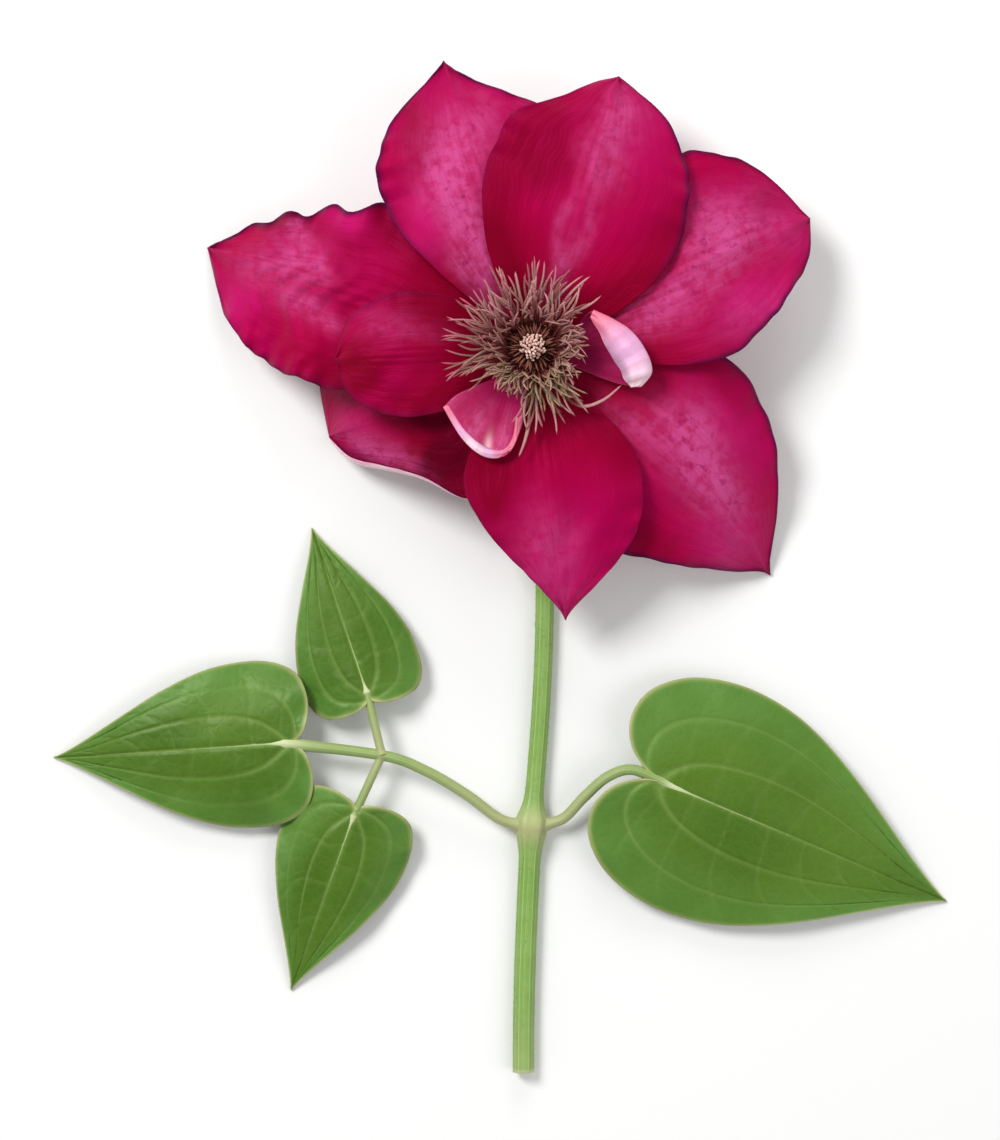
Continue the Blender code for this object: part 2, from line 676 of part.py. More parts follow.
def build_bloom(collection):
    """Make the tepals, petaloids, stamens and styles, and return their objects."""
    tepal_material = new_material("tepal_crimson", TEPAL_COLOUR, 0.5)
    petaloid_material = new_material("petaloid_pink", PETALOID_COLOUR, 0.55)
    pieces = []
    for tepal in TEPALS:
        mesh = blade_mesh(tepal.name, TEPAL_ROWS, TEPAL_COLUMNS, tepal_place(tepal))
        pieces.append(add_object(tepal.name, mesh, tepal_material, collection))
    for petaloid in PETALOIDS:
        mesh = blade_mesh(petaloid.name, PETALOID_ROWS, PETALOID_COLUMNS, petaloid_place(petaloid))
        pieces.append(add_object(petaloid.name, mesh, petaloid_material, collection))
    stamen_material = new_material("stamen_brown", STAMEN_COLOUR, 0.7)
    style_material = new_material("style_buff", STYLE_COLOUR, 0.7)
    pieces.append(add_object("stamens", stamens_mesh(), stamen_material, collection))
    pieces.append(add_object("styles", styles_mesh(), style_material, collection))
    return pieces


def build_stalk_and_leaves(collection):
    """Make the flower stalk and the two leaves at its node, and return their objects."""
    stalk_material = new_material("stalk_green", STALK_COLOUR, 0.6)
    leaf_material = new_material("leaf_green", LEAF_COLOUR, 0.5)
    return [
        add_object("flower_stalk", stalk_mesh(), stalk_material, collection),
        add_object("leaf_simple", simple_leaf_mesh(), leaf_material, collection),
        add_object("leaf_ternate", ternate_leaf_mesh(), leaf_material, collection),
    ]


def centre_on_surface(pieces):
    """Parent the pieces to an empty that puts the middle of the part's box over the origin."""
    xs = [vertex.co.x for piece in pieces for vertex in piece.data.vertices]
    ys = [vertex.co.y for piece in pieces for vertex in piece.data.vertices]
    root = bpy.data.objects.new("clematis_root", None)
    bpy.context.scene.collection.objects.link(root)
    for piece in pieces:
        piece.parent = root
    root.location = (-0.5 * (min(xs) + max(xs)), -0.5 * (min(ys) + max(ys)), 0.0)


def main():
    """Remove the start scene's objects and build the clematis."""
    for old in list(bpy.data.objects):
        bpy.data.objects.remove(old)
    collection = bpy.data.collections.new("clematis")
    bpy.context.scene.collection.children.link(collection)
    pieces = build_bloom(collection) + build_stalk_and_leaves(collection)
    centre_on_surface(pieces)


main()
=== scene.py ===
"""A picked clematis bloom with its stalk and leaf pair: the fine surface and the finish of every piece.

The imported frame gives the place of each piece. The surfaces repeat the formulas that shaped the
frame's solids, on finer grids, and add ribs, veins, ruffled margins, stamens and down. Lengths in the
classes are in millimetres, azimuths in degrees clockwise from +Y as seen from above. On a blade, u
runs from its base at 0 to its end at 1, and v from -1 at its anticlockwise margin to 1 at the other.
"""

from __future__ import annotations

import logging
import math
import random
from collections.abc import Callable, Sequence
from dataclasses import dataclass, field
from enum import Enum

import bpy
import numpy as np
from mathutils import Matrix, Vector

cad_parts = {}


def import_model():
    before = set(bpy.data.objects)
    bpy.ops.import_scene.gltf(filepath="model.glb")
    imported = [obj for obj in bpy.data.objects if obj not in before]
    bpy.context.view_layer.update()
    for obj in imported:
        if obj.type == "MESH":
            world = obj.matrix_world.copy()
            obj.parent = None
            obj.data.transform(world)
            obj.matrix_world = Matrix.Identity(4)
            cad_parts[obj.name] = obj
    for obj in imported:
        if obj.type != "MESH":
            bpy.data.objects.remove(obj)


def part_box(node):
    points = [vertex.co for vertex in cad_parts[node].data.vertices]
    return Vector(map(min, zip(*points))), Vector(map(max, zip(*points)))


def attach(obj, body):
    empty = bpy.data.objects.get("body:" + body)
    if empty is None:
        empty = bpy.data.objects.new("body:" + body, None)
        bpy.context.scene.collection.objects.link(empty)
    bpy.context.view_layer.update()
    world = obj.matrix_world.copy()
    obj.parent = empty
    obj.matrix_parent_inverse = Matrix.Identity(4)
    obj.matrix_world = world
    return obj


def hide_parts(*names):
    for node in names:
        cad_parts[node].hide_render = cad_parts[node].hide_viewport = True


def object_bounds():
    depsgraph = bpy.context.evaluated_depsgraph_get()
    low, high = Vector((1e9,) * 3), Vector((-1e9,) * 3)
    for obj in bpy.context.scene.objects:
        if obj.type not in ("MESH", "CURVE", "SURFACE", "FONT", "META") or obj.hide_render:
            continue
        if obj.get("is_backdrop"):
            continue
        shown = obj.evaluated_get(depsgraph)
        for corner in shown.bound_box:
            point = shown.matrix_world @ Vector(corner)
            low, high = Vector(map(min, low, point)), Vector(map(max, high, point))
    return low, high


LOG = logging.getLogger("clematis")

MM = 0.001
TURN = 2.0 * math.pi
UP = np.array([0.0, 0.0, 1.0])
NODE_TO_BLOOM = 92.0
CUT_TO_BLOOM = 140.0

Array = np.ndarray
Colour = tuple[float, float, float]
Points = Sequence[Sequence[float]]
Piece = bpy.types.Object
Mesh = bpy.types.Mesh
Material = bpy.types.Material
Tree = bpy.types.NodeTree
Node = bpy.types.Node
Socket = bpy.types.NodeSocket
Value = Socket | float | Colour


class Side(Enum):
    """The three surfaces of a thin blade, in the order of its material slots."""

    FACE = 0
    REVERSE = 1
    RIM = 2


class Unevenness(Enum):
    """What a tepal's random unevenness is for. Each use has its own place in the seeds."""

    MARGIN = 0
    RELIEF = 1000
    PATCHES = 2000


class Whorl(Enum):
    """The rings of stamens: how far out their tips reach and how high they stand, in millimetres."""

    INNER = (8.2, 26.6)
    MIDDLE = (11.8, 25.6)
    OUTER = (15.4, 23.6)


# Shared geometry


def heading(azimuth: float) -> tuple[Array, Array]:
    """Return the unit vectors along an azimuth and to its clockwise side.

    Args:
        azimuth: Direction in degrees, clockwise from +Y seen from above.

    Returns:
        The vector along the azimuth and the horizontal vector to its clockwise side.
    """
    angle = math.radians(azimuth)
    along = np.array([math.sin(angle), math.cos(angle), 0.0])
    across = np.array([math.cos(angle), -math.sin(angle), 0.0])
    return along, across


def smooth_step(value: Array | float, start: float, end: float) -> Array:
    """Return 0 before start, 1 after end and a smooth rise between them."""
    share = np.clip((value - start) / (end - start), 0.0, 1.0)
    return share * share * (3.0 - 2.0 * share)


def bump_line(distance: Array, width: Array | float) -> Array:
    """Return a soft bump of height 1 where distance is 0, which is gone past about two widths."""
    return np.exp(-((distance / width) ** 2))


def curve_through(points: Points | Sequence[Array], share: Array) -> Array:
    """Return the places at shares of a smooth curve through a list of points.

    Args:
        points: The points that the curve passes through, or rows of points, one for each share.
        share: Shares of the curve, from 0 at its first point to 1 at its last.

    Returns:
        One row of coordinates for each share.
    """
    line = np.asarray(points, dtype=float)
    if line.ndim == 2:
        line = np.repeat(line[:, None, :], len(share), axis=1)
    spans = len(line) - 1
    span = np.minimum((share * spans).astype(int), spans - 1)
    local = (share * spans - span)[:, None]
    each = np.arange(len(share))
    before = line[np.maximum(span - 1, 0), each]
    start = line[span, each]
    end = line[span + 1, each]
    after = line[np.minimum(span + 2, spans), each]
    return 0.5 * (
        2.0 * start
        + (end - before) * local
        + (2.0 * before - 5.0 * start + 4.0 * end - after) * local**2
        + (3.0 * start - before - 3.0 * end + after) * local**3
    )


def bezier(points: Points, share: Array) -> Array:
    """Return both coordinates at shares of a cubic Bezier curve, one row each.

    Args:
        points: Its four control points.
        share: Shares of the curve, 0 to 1.

    Returns:
        The first and the second coordinates.
    """
    first, second, third, last = np.array(points)[:, :, None]
    rest = 1.0 - share
    low = rest**3 * first + 3.0 * rest**2 * share * second
    return low + 3.0 * rest * share**2 * third + share**3 * last


def ripple(u: Array, v: Array, seed: int) -> Array:
    """Return a soft random unevenness between about -1 and 1 over a blade's (u, v).

    Args:
        u: Shares along the blade.
        v: Shares across the blade.
        seed: Seed of its draws.

    Returns:
        One number for each point.
    """
    draw = random.Random(seed)
    total = np.zeros_like(u)
    for _ in range(7):
        along = draw.uniform(1.0, 5.0)
        across = draw.uniform(0.5, 3.5) * draw.choice((-1.0, 1.0))
        total += np.sin(TURN * (along * u + 0.5 * across * v + draw.random()))
    return total / 4.0


def activate(*pieces: Piece) -> None:
    """Select these pieces and nothing else, and make the first one active.

    Args:
        pieces: The pieces, with the one to make active first.
    """
    bpy.ops.object.select_all(action="DESELECT")
    for piece in pieces:
        piece.select_set(True)
    bpy.context.view_layer.objects.active = pieces[0]


def add(operator: Callable[..., object], name: str, **settings: object) -> Piece:
    """Add an object by an operator with nothing else selected, and name it.

    Args:
        operator: The operator that adds the object.
        name: The object's name.
        settings: The operator's own settings.

    Returns:
        The new object.
    """
    bpy.ops.object.select_all(action="DESELECT")
    operator(**settings)
    made = bpy.context.view_layer.objects.active
    made.name = name
    return made


def add_grid(name: str, rows: int, columns: int) -> Piece:
    """Add a flat grid from -1 to 1 each way with its own UV map, and name it."""
    shape = {"x_subdivisions": columns, "y_subdivisions": rows, "size": 2.0, "calc_uvs": True}
    return add(bpy.ops.mesh.primitive_grid_add, name, **shape)


def own_copy(piece: Piece) -> Piece:
    """Return a copy of a piece that has its own mesh, in the scene.

    Args:
        piece: The piece to copy.

    Returns:
        The copy.
    """
    copy = piece.copy()
    copy.data = piece.data.copy()
    bpy.context.scene.collection.objects.link(copy)
    return copy


def edit(piece: Piece, operator: Callable[..., object], **settings: object) -> None:
    """Run a mesh operator on the whole of a piece, in edit mode.

    Args:
        piece: The piece to edit.
        operator: The mesh operator.
        settings: The operator's own settings.
    """
    activate(piece)
    bpy.ops.object.mode_set(mode="EDIT")
    bpy.ops.mesh.select_all(action="SELECT")
    operator(**settings)
    bpy.ops.object.mode_set(mode="OBJECT")


def merge_points(piece: Piece, distance: float = 2e-6) -> None:
    """Merge the points of a piece that lie within a distance in metres."""
    edit(piece, bpy.ops.mesh.remove_doubles, threshold=distance)


def recalculate_normals(piece: Piece) -> None:
    """Make a closed piece's faces point outwards and shade it smooth."""
    edit(piece, bpy.ops.mesh.normals_make_consistent, inside=False)
    bpy.ops.object.shade_smooth()


def join_pieces(name: str, pieces: Sequence[Piece]) -> Piece:
    """Join pieces into the first of them, and name it.

    Args:
        name: Name of the joined piece.
        pieces: The pieces to join.

    Returns:
        The joined piece.
    """
    activate(*pieces)
    bpy.ops.object.join()
    pieces[0].name = name
    pieces[0].data.name = name
    return pieces[0]


def point_places(mesh: Mesh) -> Array:
    """Return the places of a mesh's points in Blender's own units, one row each.

    Args:
        mesh: The mesh.

    Returns:
        One row of coordinates for each point.
    """
    flat = np.empty(len(mesh.vertices) * 3)
    mesh.vertices.foreach_get("co", flat)
    return flat.reshape(-1, 3)


def set_places(mesh: Mesh, places: Array) -> None:
    """Give a mesh's points their places, in millimetres."""
    mesh.vertices.foreach_set("co", (places * MM).ravel())
    mesh.update()


def grid_shares(mesh: Mesh) -> tuple[Array, Array]:
    """Return each grid point's share along (0 to 1) and across (-1 to 1)."""
    places = point_places(mesh)
    return 0.5 * (places[:, 1] + 1.0), places[:, 0].copy()


def paint(mesh: Mesh, name: str, values: Array | float) -> None:
    """Store a number for each point of a mesh, or one for them all, for its material to read.

    Args:
        mesh: The mesh.
        name: The name that the material reads.
        values: The numbers, or the one for all points.
    """
    layer = mesh.attributes.new(name, "FLOAT", "POINT")
    spread = np.broadcast_to(values, len(mesh.vertices))
    layer.data.foreach_set("value", np.ascontiguousarray(spread, dtype=np.float32))


def seat(piece: Piece, node: str) -> None:
    """Let a finished piece stand for its node: ride on the part's root, hide the node's solid and log its
    faces.

    Args:
        piece: The finished piece.
        node: The node that it stands for.
    """
    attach(piece, "root")
    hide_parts(node)
    LOG.info("%s: %d faces", piece.name, len(piece.data.polygons))


@dataclass
class Blade:
    """A thin blade made from a grid: face, reverse and rim, with painted numbers for its materials.

    A shape's MARKS name what is painted, each by the method of that name.
    """

    name: str
    shape: TepalShape | PetaloidShape | LeafletShape
    rows: int
    columns: int
    thickness: float
    centre: Array

    def build(self, materials: dict[Side, Material]) -> Piece:
        """Shape the grid, give it its thickness and dress its three surfaces.

        Args:
            materials: The material of each surface.

        Returns:
            The finished blade, with its place in its mesh.
        """
        piece = add_grid(self.name, self.rows, self.columns)
        u, v = grid_shares(piece.data)
        for mark in self.shape.MARKS:
            paint(piece.data, mark, getattr(self.shape, mark)(u, v))
        set_places(piece.data, self.shape.place(u, v) + self.centre)
        merge_points(piece)
        for side in Side:
            piece.data.materials.append(materials[side])
        wall = piece.modifiers.new("thickness", "SOLIDIFY")
        wall.thickness = self.thickness * MM
        wall.offset = 0.0
        wall.material_offset = Side.REVERSE.value
        wall.material_offset_rim = Side.RIM.value
        activate(piece)
        bpy.ops.object.modifier_apply(modifier=wall.name)
        bpy.ops.object.shade_smooth()
        return piece


@dataclass
class Tube:
    """A tube round a path, closed at both ends, made from a grid that is wrapped round it."""

    name: str
    path: Array
    radii: Array
    sides: int
    ribs: int = 0
    rib_depth: float = 0.0
    flatten: float = 1.0

    def frames(self) -> tuple[Array, Array]:
        """Return two cross vectors at each path point, carried along the path without twist.

        Returns:
            The vectors across and the vectors up, one row for each path point.
        """
        tangents = np.gradient(self.path, axis=0)
        tangents /= np.linalg.norm(tangents, axis=1)[:, None]
        side = np.cross(tangents[0], UP)
        if np.linalg.norm(side) < 0.2:
            side = np.array([1.0, 0.0, 0.0])
        sides = []
        for tangent in tangents:
            side = side - tangent * np.dot(side, tangent)
            side = side / np.linalg.norm(side)
            sides.append(side)
        across = np.array(sides)
        return across, np.cross(tangents, across)

    def shaped(self, grid: Piece) -> Piece:
        """Wrap a grid round the path. It has one row for each path point.

        Args:
            grid: The grid to wrap.

        Returns:
            The same grid, wrapped.
        """
        u, v = grid_shares(grid.data)
        steps = np.linspace(0.0, 1.0, len(self.path))
        angle = math.pi * v
        radius = np.interp(u, steps, [0.0, *self.radii[1:-1], 0.0])
        radius = radius * (1.0 + self.rib_depth * np.cos(self.ribs * angle))
        wide, tall, middle = (
            np.stack([np.interp(u, steps, rows[:, axis]) for axis in range(3)], axis=1)
            for rows in (*self.frames(), self.path)
        )
        ring = wide * (radius * np.cos(angle))[:, None]
        ring += tall * (radius * self.flatten * np.sin(angle))[:, None]
        paint(grid.data, "along", u)
        set_places(grid.data, middle + ring)
        return grid

    def build(self, material: Material) -> Piece:
        """Make the tube, merge its seam and its closed ends, and dress it.

        Args:
            material: The tube's material.

        Returns:
            The finished tube, with its place in its mesh.
        """
        grid = self.shaped(add_grid(self.name, len(self.path) - 1, self.sides))
        grid.data.materials.append(material)
        merge_points(grid)
        recalculate_normals(grid)
        return grid


# Shader building blocks


class Recipe:
    """A node tree that is being written."""

    def __init__(self, tree: Tree) -> None:
        """Keep the tree that the nodes go into."""
        self.tree = tree

    def feed(self, socket: Socket, value: Value) -> None:
        """Link a socket to another, or give it a plain value.

        Args:
            socket: The socket to feed.
            value: Another socket, a number or a colour.
        """
        if isinstance(value, Socket):
            self.tree.links.new(value, socket)
        elif isinstance(value, tuple) and socket.type == "RGBA":
            socket.default_value = (*value, 1.0)
        else:
            socket.default_value = value

    def fill(self, node: Node, inputs: dict[str | int, Value]) -> Node:
        """Feed a node's inputs, by name or number, and return it.

        Args:
            node: The node.
            inputs: What each of its inputs takes.

        Returns:
            The same node.
        """
        for name, value in inputs.items():
            self.feed(node.inputs[name], value)
        return node

    def node(self, kind: str, inputs: dict[str | int, Value] | None = None, **settings: object) -> Node:
        """Add a node.

        Args:
            kind: The node's type, without the leading ShaderNode.
            inputs: Values or sockets for its inputs, by name or number.
            settings: The node's own properties.

        Returns:
            The new node.
        """
        made = self.tree.nodes.new("ShaderNode" + kind)
        for name, value in settings.items():
            setattr(made, name, value)
        return self.fill(made, inputs or {})

    def math(self, operation: str, first: Value, second: Value = 0.0, clamp: bool = False) -> Socket:
        """Return the result of a sum on one or two numbers."""
        return self.node("Math", {0: first, 1: second}, operation=operation, use_clamp=clamp).outputs[0]

    def times(self, first: Value, second: Value, clamp: bool = False) -> Socket:
        """Return the product of two numbers."""
        return self.math("MULTIPLY", first, second, clamp)

    def plus(self, first: Value, second: Value) -> Socket:
        """Return the sum of two numbers."""
        return self.math("ADD", first, second)

    def layers(self, colour: Value, *tints: tuple[Value, Value]) -> Socket:
        """Return a colour with other ones laid over it in turn, each by its share.

        Args:
            colour: The colour below.
            tints: The share and the colour of each layer.

        Returns:
            The resulting colour.
        """
        for share, tint in tints:
            colour = self.node("Mix", {0: share, 6: colour, 7: tint}, data_type="RGBA").outputs[2]
        return colour

    def span(self, value: Value, low: float, high: float, start: float = 0.0, end: float = 1.0) -> Socket:
        """Return a value mapped smoothly from low..high to start..end."""
        inputs = {0: value, 1: low, 2: high, 3: start, 4: end}
        return self.node("MapRange", inputs, interpolation_type="SMOOTHSTEP").outputs[0]

    def mark(self, name: str) -> Socket:
        """Return the numbers painted on the piece under a name."""
        return self.node("Attribute", attribute_name=name).outputs["Fac"]

    def noise(self, vector: Socket, scale: float, detail: float = 3.0, roughness: float = 0.5) -> Socket:
        """Return a noise between 0 and 1."""
        inputs = {"Vector": vector, "Scale": scale, "Detail": detail, "Roughness": roughness}
        return self.node("TexNoise", inputs).outputs[0]

    def stretched(self, vector: Socket, scale: tuple[float, float, float]) -> Socket:
        """Return a vector scaled by its own amount each way."""
        return self.node("Mapping", {"Vector": vector, "Scale": scale}).outputs[0]

    def object_place(self) -> Socket:
        """Return the point's place on the object, in metres."""
        return self.node("TexCoord").outputs["Object"]


class Group(Recipe):
    """A shader node group that is being written."""

    def __init__(self, name: str, inputs: dict[str, str], outputs: Sequence[str]) -> None:
        """Start the group.

        Args:
            name: The group's name.
            inputs: Each input's name and the kind of its socket, Vector or Float.
            outputs: The names of its number outputs.
        """
        super().__init__(bpy.data.node_groups.new(name, "ShaderNodeTree"))
        ends = [(label, "INPUT", kind) for label, kind in inputs.items()]
        for label, way, kind in ends + [(label, "OUTPUT", "Float") for label in outputs]:
            self.tree.interface.new_socket(label, in_out=way, socket_type="NodeSocket" + kind)
        self.given = self.tree.nodes.new("NodeGroupInput").outputs
        self.leave = self.tree.nodes.new("NodeGroupOutput")

    def close(self, **outputs: Socket) -> Tree:
        """Feed the group's outputs, and return its tree."""
        self.fill(self.leave, outputs)
        return self.tree


def parallel_veins() -> Tree:
    """Return the group for fine veins that run from the base of a blade to its tip.

    Its input Surface is the blade's UV map, Lines how many veins cross the blade, and Wander how
    unevenly they run. Line is 1 on a vein, and Height is their relief.

    Returns:
        The group's tree.
    """
    inputs = {"Surface": "Vector", "Lines": "Float", "Wander": "Float"}
    group = Group("parallel_veins", inputs, ("Line", "Height"))
    parts = group.node("SeparateXYZ", {0: group.given["Surface"]})
    slow = group.noise(group.stretched(group.given["Surface"], (3.0, 7.0, 1.0)), 1.0, 2.0)
    shift = group.times(group.math("SUBTRACT", slow, 0.5), group.given["Wander"])
    turn = group.times(group.times(group.plus(parts.outputs[0], shift), group.given["Lines"]), TURN)
    wave = group.math("COSINE", turn)
    fine = group.math("COSINE", group.times(turn, 2.73))
    both = group.plus(group.times(wave, 0.65), group.times(fine, 0.35))
    return group.close(Line=group.span(both, 0.35, 1.0), Height=group.times(both, 0.5))


def vein_net() -> Tree:
    """Return the group for the fine net between a leaf's veins.

    Its input Place is in metres and Mesh is the size of the net's cells in metres. Line is 1 on a
    thread of the net, and Height stands up between the threads.

    Returns:
        The group's tree.
    """
    group = Group("vein_net", {"Place": "Vector", "Mesh": "Float"}, ("Line", "Height"))
    scale = group.math("DIVIDE", 1.0, group.given["Mesh"])
    moved = group.node("VectorMath", {0: group.given["Place"], "Scale": scale}, operation="SCALE").outputs[0]
    warp = group.node("TexNoise", {"Vector": moved, "Scale": 0.7}).outputs["Color"]
    bent = group.node("VectorMath", {0: moved, 1: warp}, operation="ADD").outputs[0]
    cells = group.node("TexVoronoi", {"Vector": bent, "Scale": 1.0}, feature="DISTANCE_TO_EDGE")
    inward = cells.outputs["Distance"]
    return group.close(Line=group.span(inward, 0.0, 0.10, 1.0, 0.0), Height=group.span(inward, 0.0, 0.35))


def mottle() -> Tree:
    """Return the group for soft patches and fine grain.

    Its input Place is in metres. Patch varies slowly over a few millimetres and Grain over tenths.

    Returns:
        The group's tree.
    """
    group = Group("mottle", {"Place": "Vector"}, ("Patch", "Grain"))
    patch = group.span(group.noise(group.given["Place"], 140.0, 3.0), 0.3, 0.7)
    return group.close(Patch=patch, Grain=group.noise(group.given["Place"], 2600.0, 2.0, 0.6))


@dataclass
class Palette:
    """The shader node groups that the finishes share."""

    veins: Tree = field(default_factory=parallel_veins)
    net: Tree = field(default_factory=vein_net)
    mottle: Tree = field(default_factory=mottle)

    def surfaces(self, finishes: Sequence[Finish]) -> dict[Side, Material]:
        """Return the materials of a blade's surfaces, from the finishes of face, reverse and rim."""
        return {side: finish.material(self) for side, finish in zip(Side, finishes)}


class Coat(Recipe):
    """The node tree of one material, with the patterns that every finish reads."""

    def __init__(self, tree: Tree, palette: Palette) -> None:
        """Place the patterns that every finish reads: soft patches and fine grain.

        Args:
            tree: The material's own tree.
            palette: The shared node groups.
        """
        super().__init__(tree)
        self.palette = palette
        self.place = self.object_place()
        patterns = self.group(palette.mottle, Place=self.place)
        self.patch, self.grain = patterns.outputs["Patch"], patterns.outputs["Grain"]

    def group(self, tree: Tree, **inputs: Value) -> Node:
        """Place a node group with its own values.

        Args:
            tree: The group's tree.
            inputs: What each of its inputs takes.

        Returns:
            The group's node.
        """
        made = self.node("Group")
        made.node_tree = tree
        return self.fill(made, inputs)

    def surface_map(self) -> Socket:
        """Return the piece's own UV map."""
        return self.node("UVMap", uv_map="UVMap").outputs[0]

    def veins(self, surface: Socket, lines: float, wander: float) -> tuple[Socket, Socket]:
        """Return the line and the relief of fine veins along a blade's UV map."""
        made = self.group(self.palette.veins, Surface=surface, Lines=lines, Wander=wander)
        return made.outputs["Line"], made.outputs["Height"]

    def dress(
        self,
        colour: Value,
        roughness: tuple[Socket, float, float],
        relief: tuple[Socket, float, float],
        constants: dict[str, Value] | None = None,
    ) -> None:
        """Feed the material's shader.

        Args:
            colour: The base colour.
            roughness: A pattern from 0 to 1, and the roughness at each of its ends.
            relief: The pattern of the relief, its height in metres and how strongly it shows.
            constants: Values that are the same all over, by the names of the shader's sockets.
        """
        pattern, low, high = roughness
        height, depth, strength = relief
        bump = self.node("Bump", {"Height": height, "Distance": depth, "Strength": strength})
        shader = self.tree.nodes["Principled BSDF"]
        rough = self.span(pattern, 0.0, 1.0, low, high)
        self.fill(shader, {"Base Color": colour, "Roughness": rough, "Normal": bump.outputs[0]})
        self.fill(shader, constants or {})


@dataclass(frozen=True)
class Finish:
    """What every finish has: a name, and a recipe for its colour, roughness and relief."""

    name: str

    def write(self, coat: Coat) -> None:
        """Write the finish into a material's node tree."""
        raise NotImplementedError(self.name)

    def material(self, palette: Palette) -> Material:
        """Return the finish as a material.

        Args:
            palette: The shared node groups.

        Returns:
            The new material.
        """
        material = bpy.data.materials.new(self.name)
        material.use_nodes = True
        self.write(Coat(material.node_tree, palette))
        return material


@dataclass(frozen=True)
class TepalFinish(Finish):
    """The face of a tepal: velvety crimson with mottled painted lit patches, painted shade and painted
    shadows, faint veins and a thin dark edge.
    """

    name: str = "tepal_face"
    side: Colour = (0.325, 0.0006, 0.056)
    warm: Colour = (0.320, 0.0004, 0.018)
    # The colours of the painted lit patches, of clearer magenta, of painted shade and of the darkest painted
    # shadow
    lit: Colour = (0.470, 0.056, 0.200)
    vivid: Colour = (0.430, 0.005, 0.108)
    painted_shade: Colour = (0.175, 0.0004, 0.010)
    painted_dark_shade: Colour = (0.080, 0.0003, 0.004)
    vein: Colour = (0.200, 0.0008, 0.040)
    edge: Colour = (0.045, 0.003, 0.032)
    fleck: Colour = (0.200, 0.002, 0.062)
    roughness: float = 0.48
    vein_share: float = 0.07

    def write(self, coat: Coat) -> None:
        """Write the finish into a material's node tree.

        Args:
            coat: The material's node tree.
        """
        surface = coat.surface_map()
        line, height = coat.veins(surface, 13.0, 0.16)
        streak = coat.noise(coat.stretched(surface, (34.0, 3.0, 1.0)), 1.0, 4.0, 0.6)
        cloud = coat.noise(coat.place, 420.0, 4.0, 0.62)
        breadth = coat.times(coat.span(streak, 0.3, 0.7, 0.66, 1.12), coat.span(cloud, 0.34, 0.6, 0.5, 1.12))
        warmth = coat.times(coat.span(coat.noise(coat.place, 60.0, 2.0), 0.35, 0.65), 0.45)
        flecks = coat.span(coat.noise(coat.place, 560.0, 3.0, 0.6), 0.57, 0.68, 0.0, 0.55)
        colour = coat.layers(
            self.side,
            (coat.math("MAXIMUM", coat.mark("warmth"), warmth), self.warm),
            # Painted shade at the throat, along the flanks and under other blades, darkest where it passes
            # 1.4
            (coat.math("MINIMUM", coat.mark("painted_shade"), 0.95), self.painted_shade),
            (coat.span(coat.mark("painted_shade"), 1.4, 2.3), self.painted_dark_shade),
            (coat.mark("vivid"), self.vivid),
            # Painted lit patches, broken up by noise
            (coat.times(coat.mark("glow"), breadth, clamp=True), self.lit),
            (coat.times(flecks, coat.mark("glow")), self.fleck),
            (coat.times(line, self.vein_share), self.vein),
            (coat.mark("edge"), self.edge),
        )
        relief = coat.plus(height, coat.times(coat.grain, 0.5))
        relief = coat.plus(relief, coat.times(cloud, 2.2))
        constants = {
            "Specular IOR Level": 0.24,
            "Specular Tint": (1.0, 0.04, 0.36),
            "Sheen Weight": 0.03,
            "Sheen Roughness": 0.4,
            "Sheen Tint": (1.0, 0.10, 0.50),
        }
        rough = (coat.grain, self.roughness - 0.06, self.roughness + 0.1)
        coat.dress(colour, rough, (relief, 0.00007, 0.75), constants)


@dataclass(frozen=True)
class ReverseFinish(Finish):
    """The back of a tepal: pale pink with deeper veins, a greenish bar and a magenta margin."""

    name: str = "tepal_reverse"
    pale: Colour = (0.78, 0.47, 0.55)
    vein: Colour = (0.62, 0.13, 0.28)
    bar: Colour = (0.66, 0.62, 0.46)
    margin: Colour = (0.50, 0.02, 0.12)

    def write(self, coat: Coat) -> None:
        """Write the finish into a material's node tree.

        Args:
            coat: The material's node tree.
        """
        line, height = coat.veins(coat.surface_map(), 17.0, 0.05)
        colour = coat.layers(
            self.pale,
            (coat.times(line, 0.55), self.vein),
            (coat.times(coat.mark("rib"), 0.7), self.bar),
            (coat.mark("flush"), self.margin),
        )
        relief = (coat.plus(height, coat.grain), 0.0001, 0.7)
        coat.dress(colour, (coat.patch, 0.50, 0.62), relief, {"Sheen Weight": 0.3})


@dataclass(frozen=True)
class CurlFinish(Finish):
    """The back of a petaloid's curled end: pink, then lavender, then near white, with faint veins and painted
    shade.
    """

    pink: Colour = (0.74, 0.17, 0.26)
    lavender: Colour = (0.70, 0.36, 0.58)
    white: Colour = (0.84, 0.60, 0.68)
    # Colour of the painted shade along the margin
    shade: Colour = (0.40, 0.22, 0.34)
    magenta: Colour = (0.42, 0.01, 0.10)

    def write(self, coat: Coat) -> None:
        """Write the finish into a material's node tree.

        Args:
            coat: The material's node tree.
        """
        line, height = coat.veins(coat.surface_map(), 6.0, 0.12)
        pale = coat.mark("pale")
        colour = coat.layers(
            self.pink,
            (coat.span(pale, 0.05, 0.5), self.lavender),
            (coat.span(pale, 0.5, 0.95), self.white),
            # Painted shade along the margin
            (coat.mark("shade"), self.shade),
            (coat.times(line, 0.16), self.pink),
            (coat.mark("flush"), self.magenta),
        )
        relief = (coat.plus(height, coat.times(coat.grain, 0.5)), 0.00008, 0.7)
        coat.dress(colour, (coat.grain, 0.45, 0.6), relief)


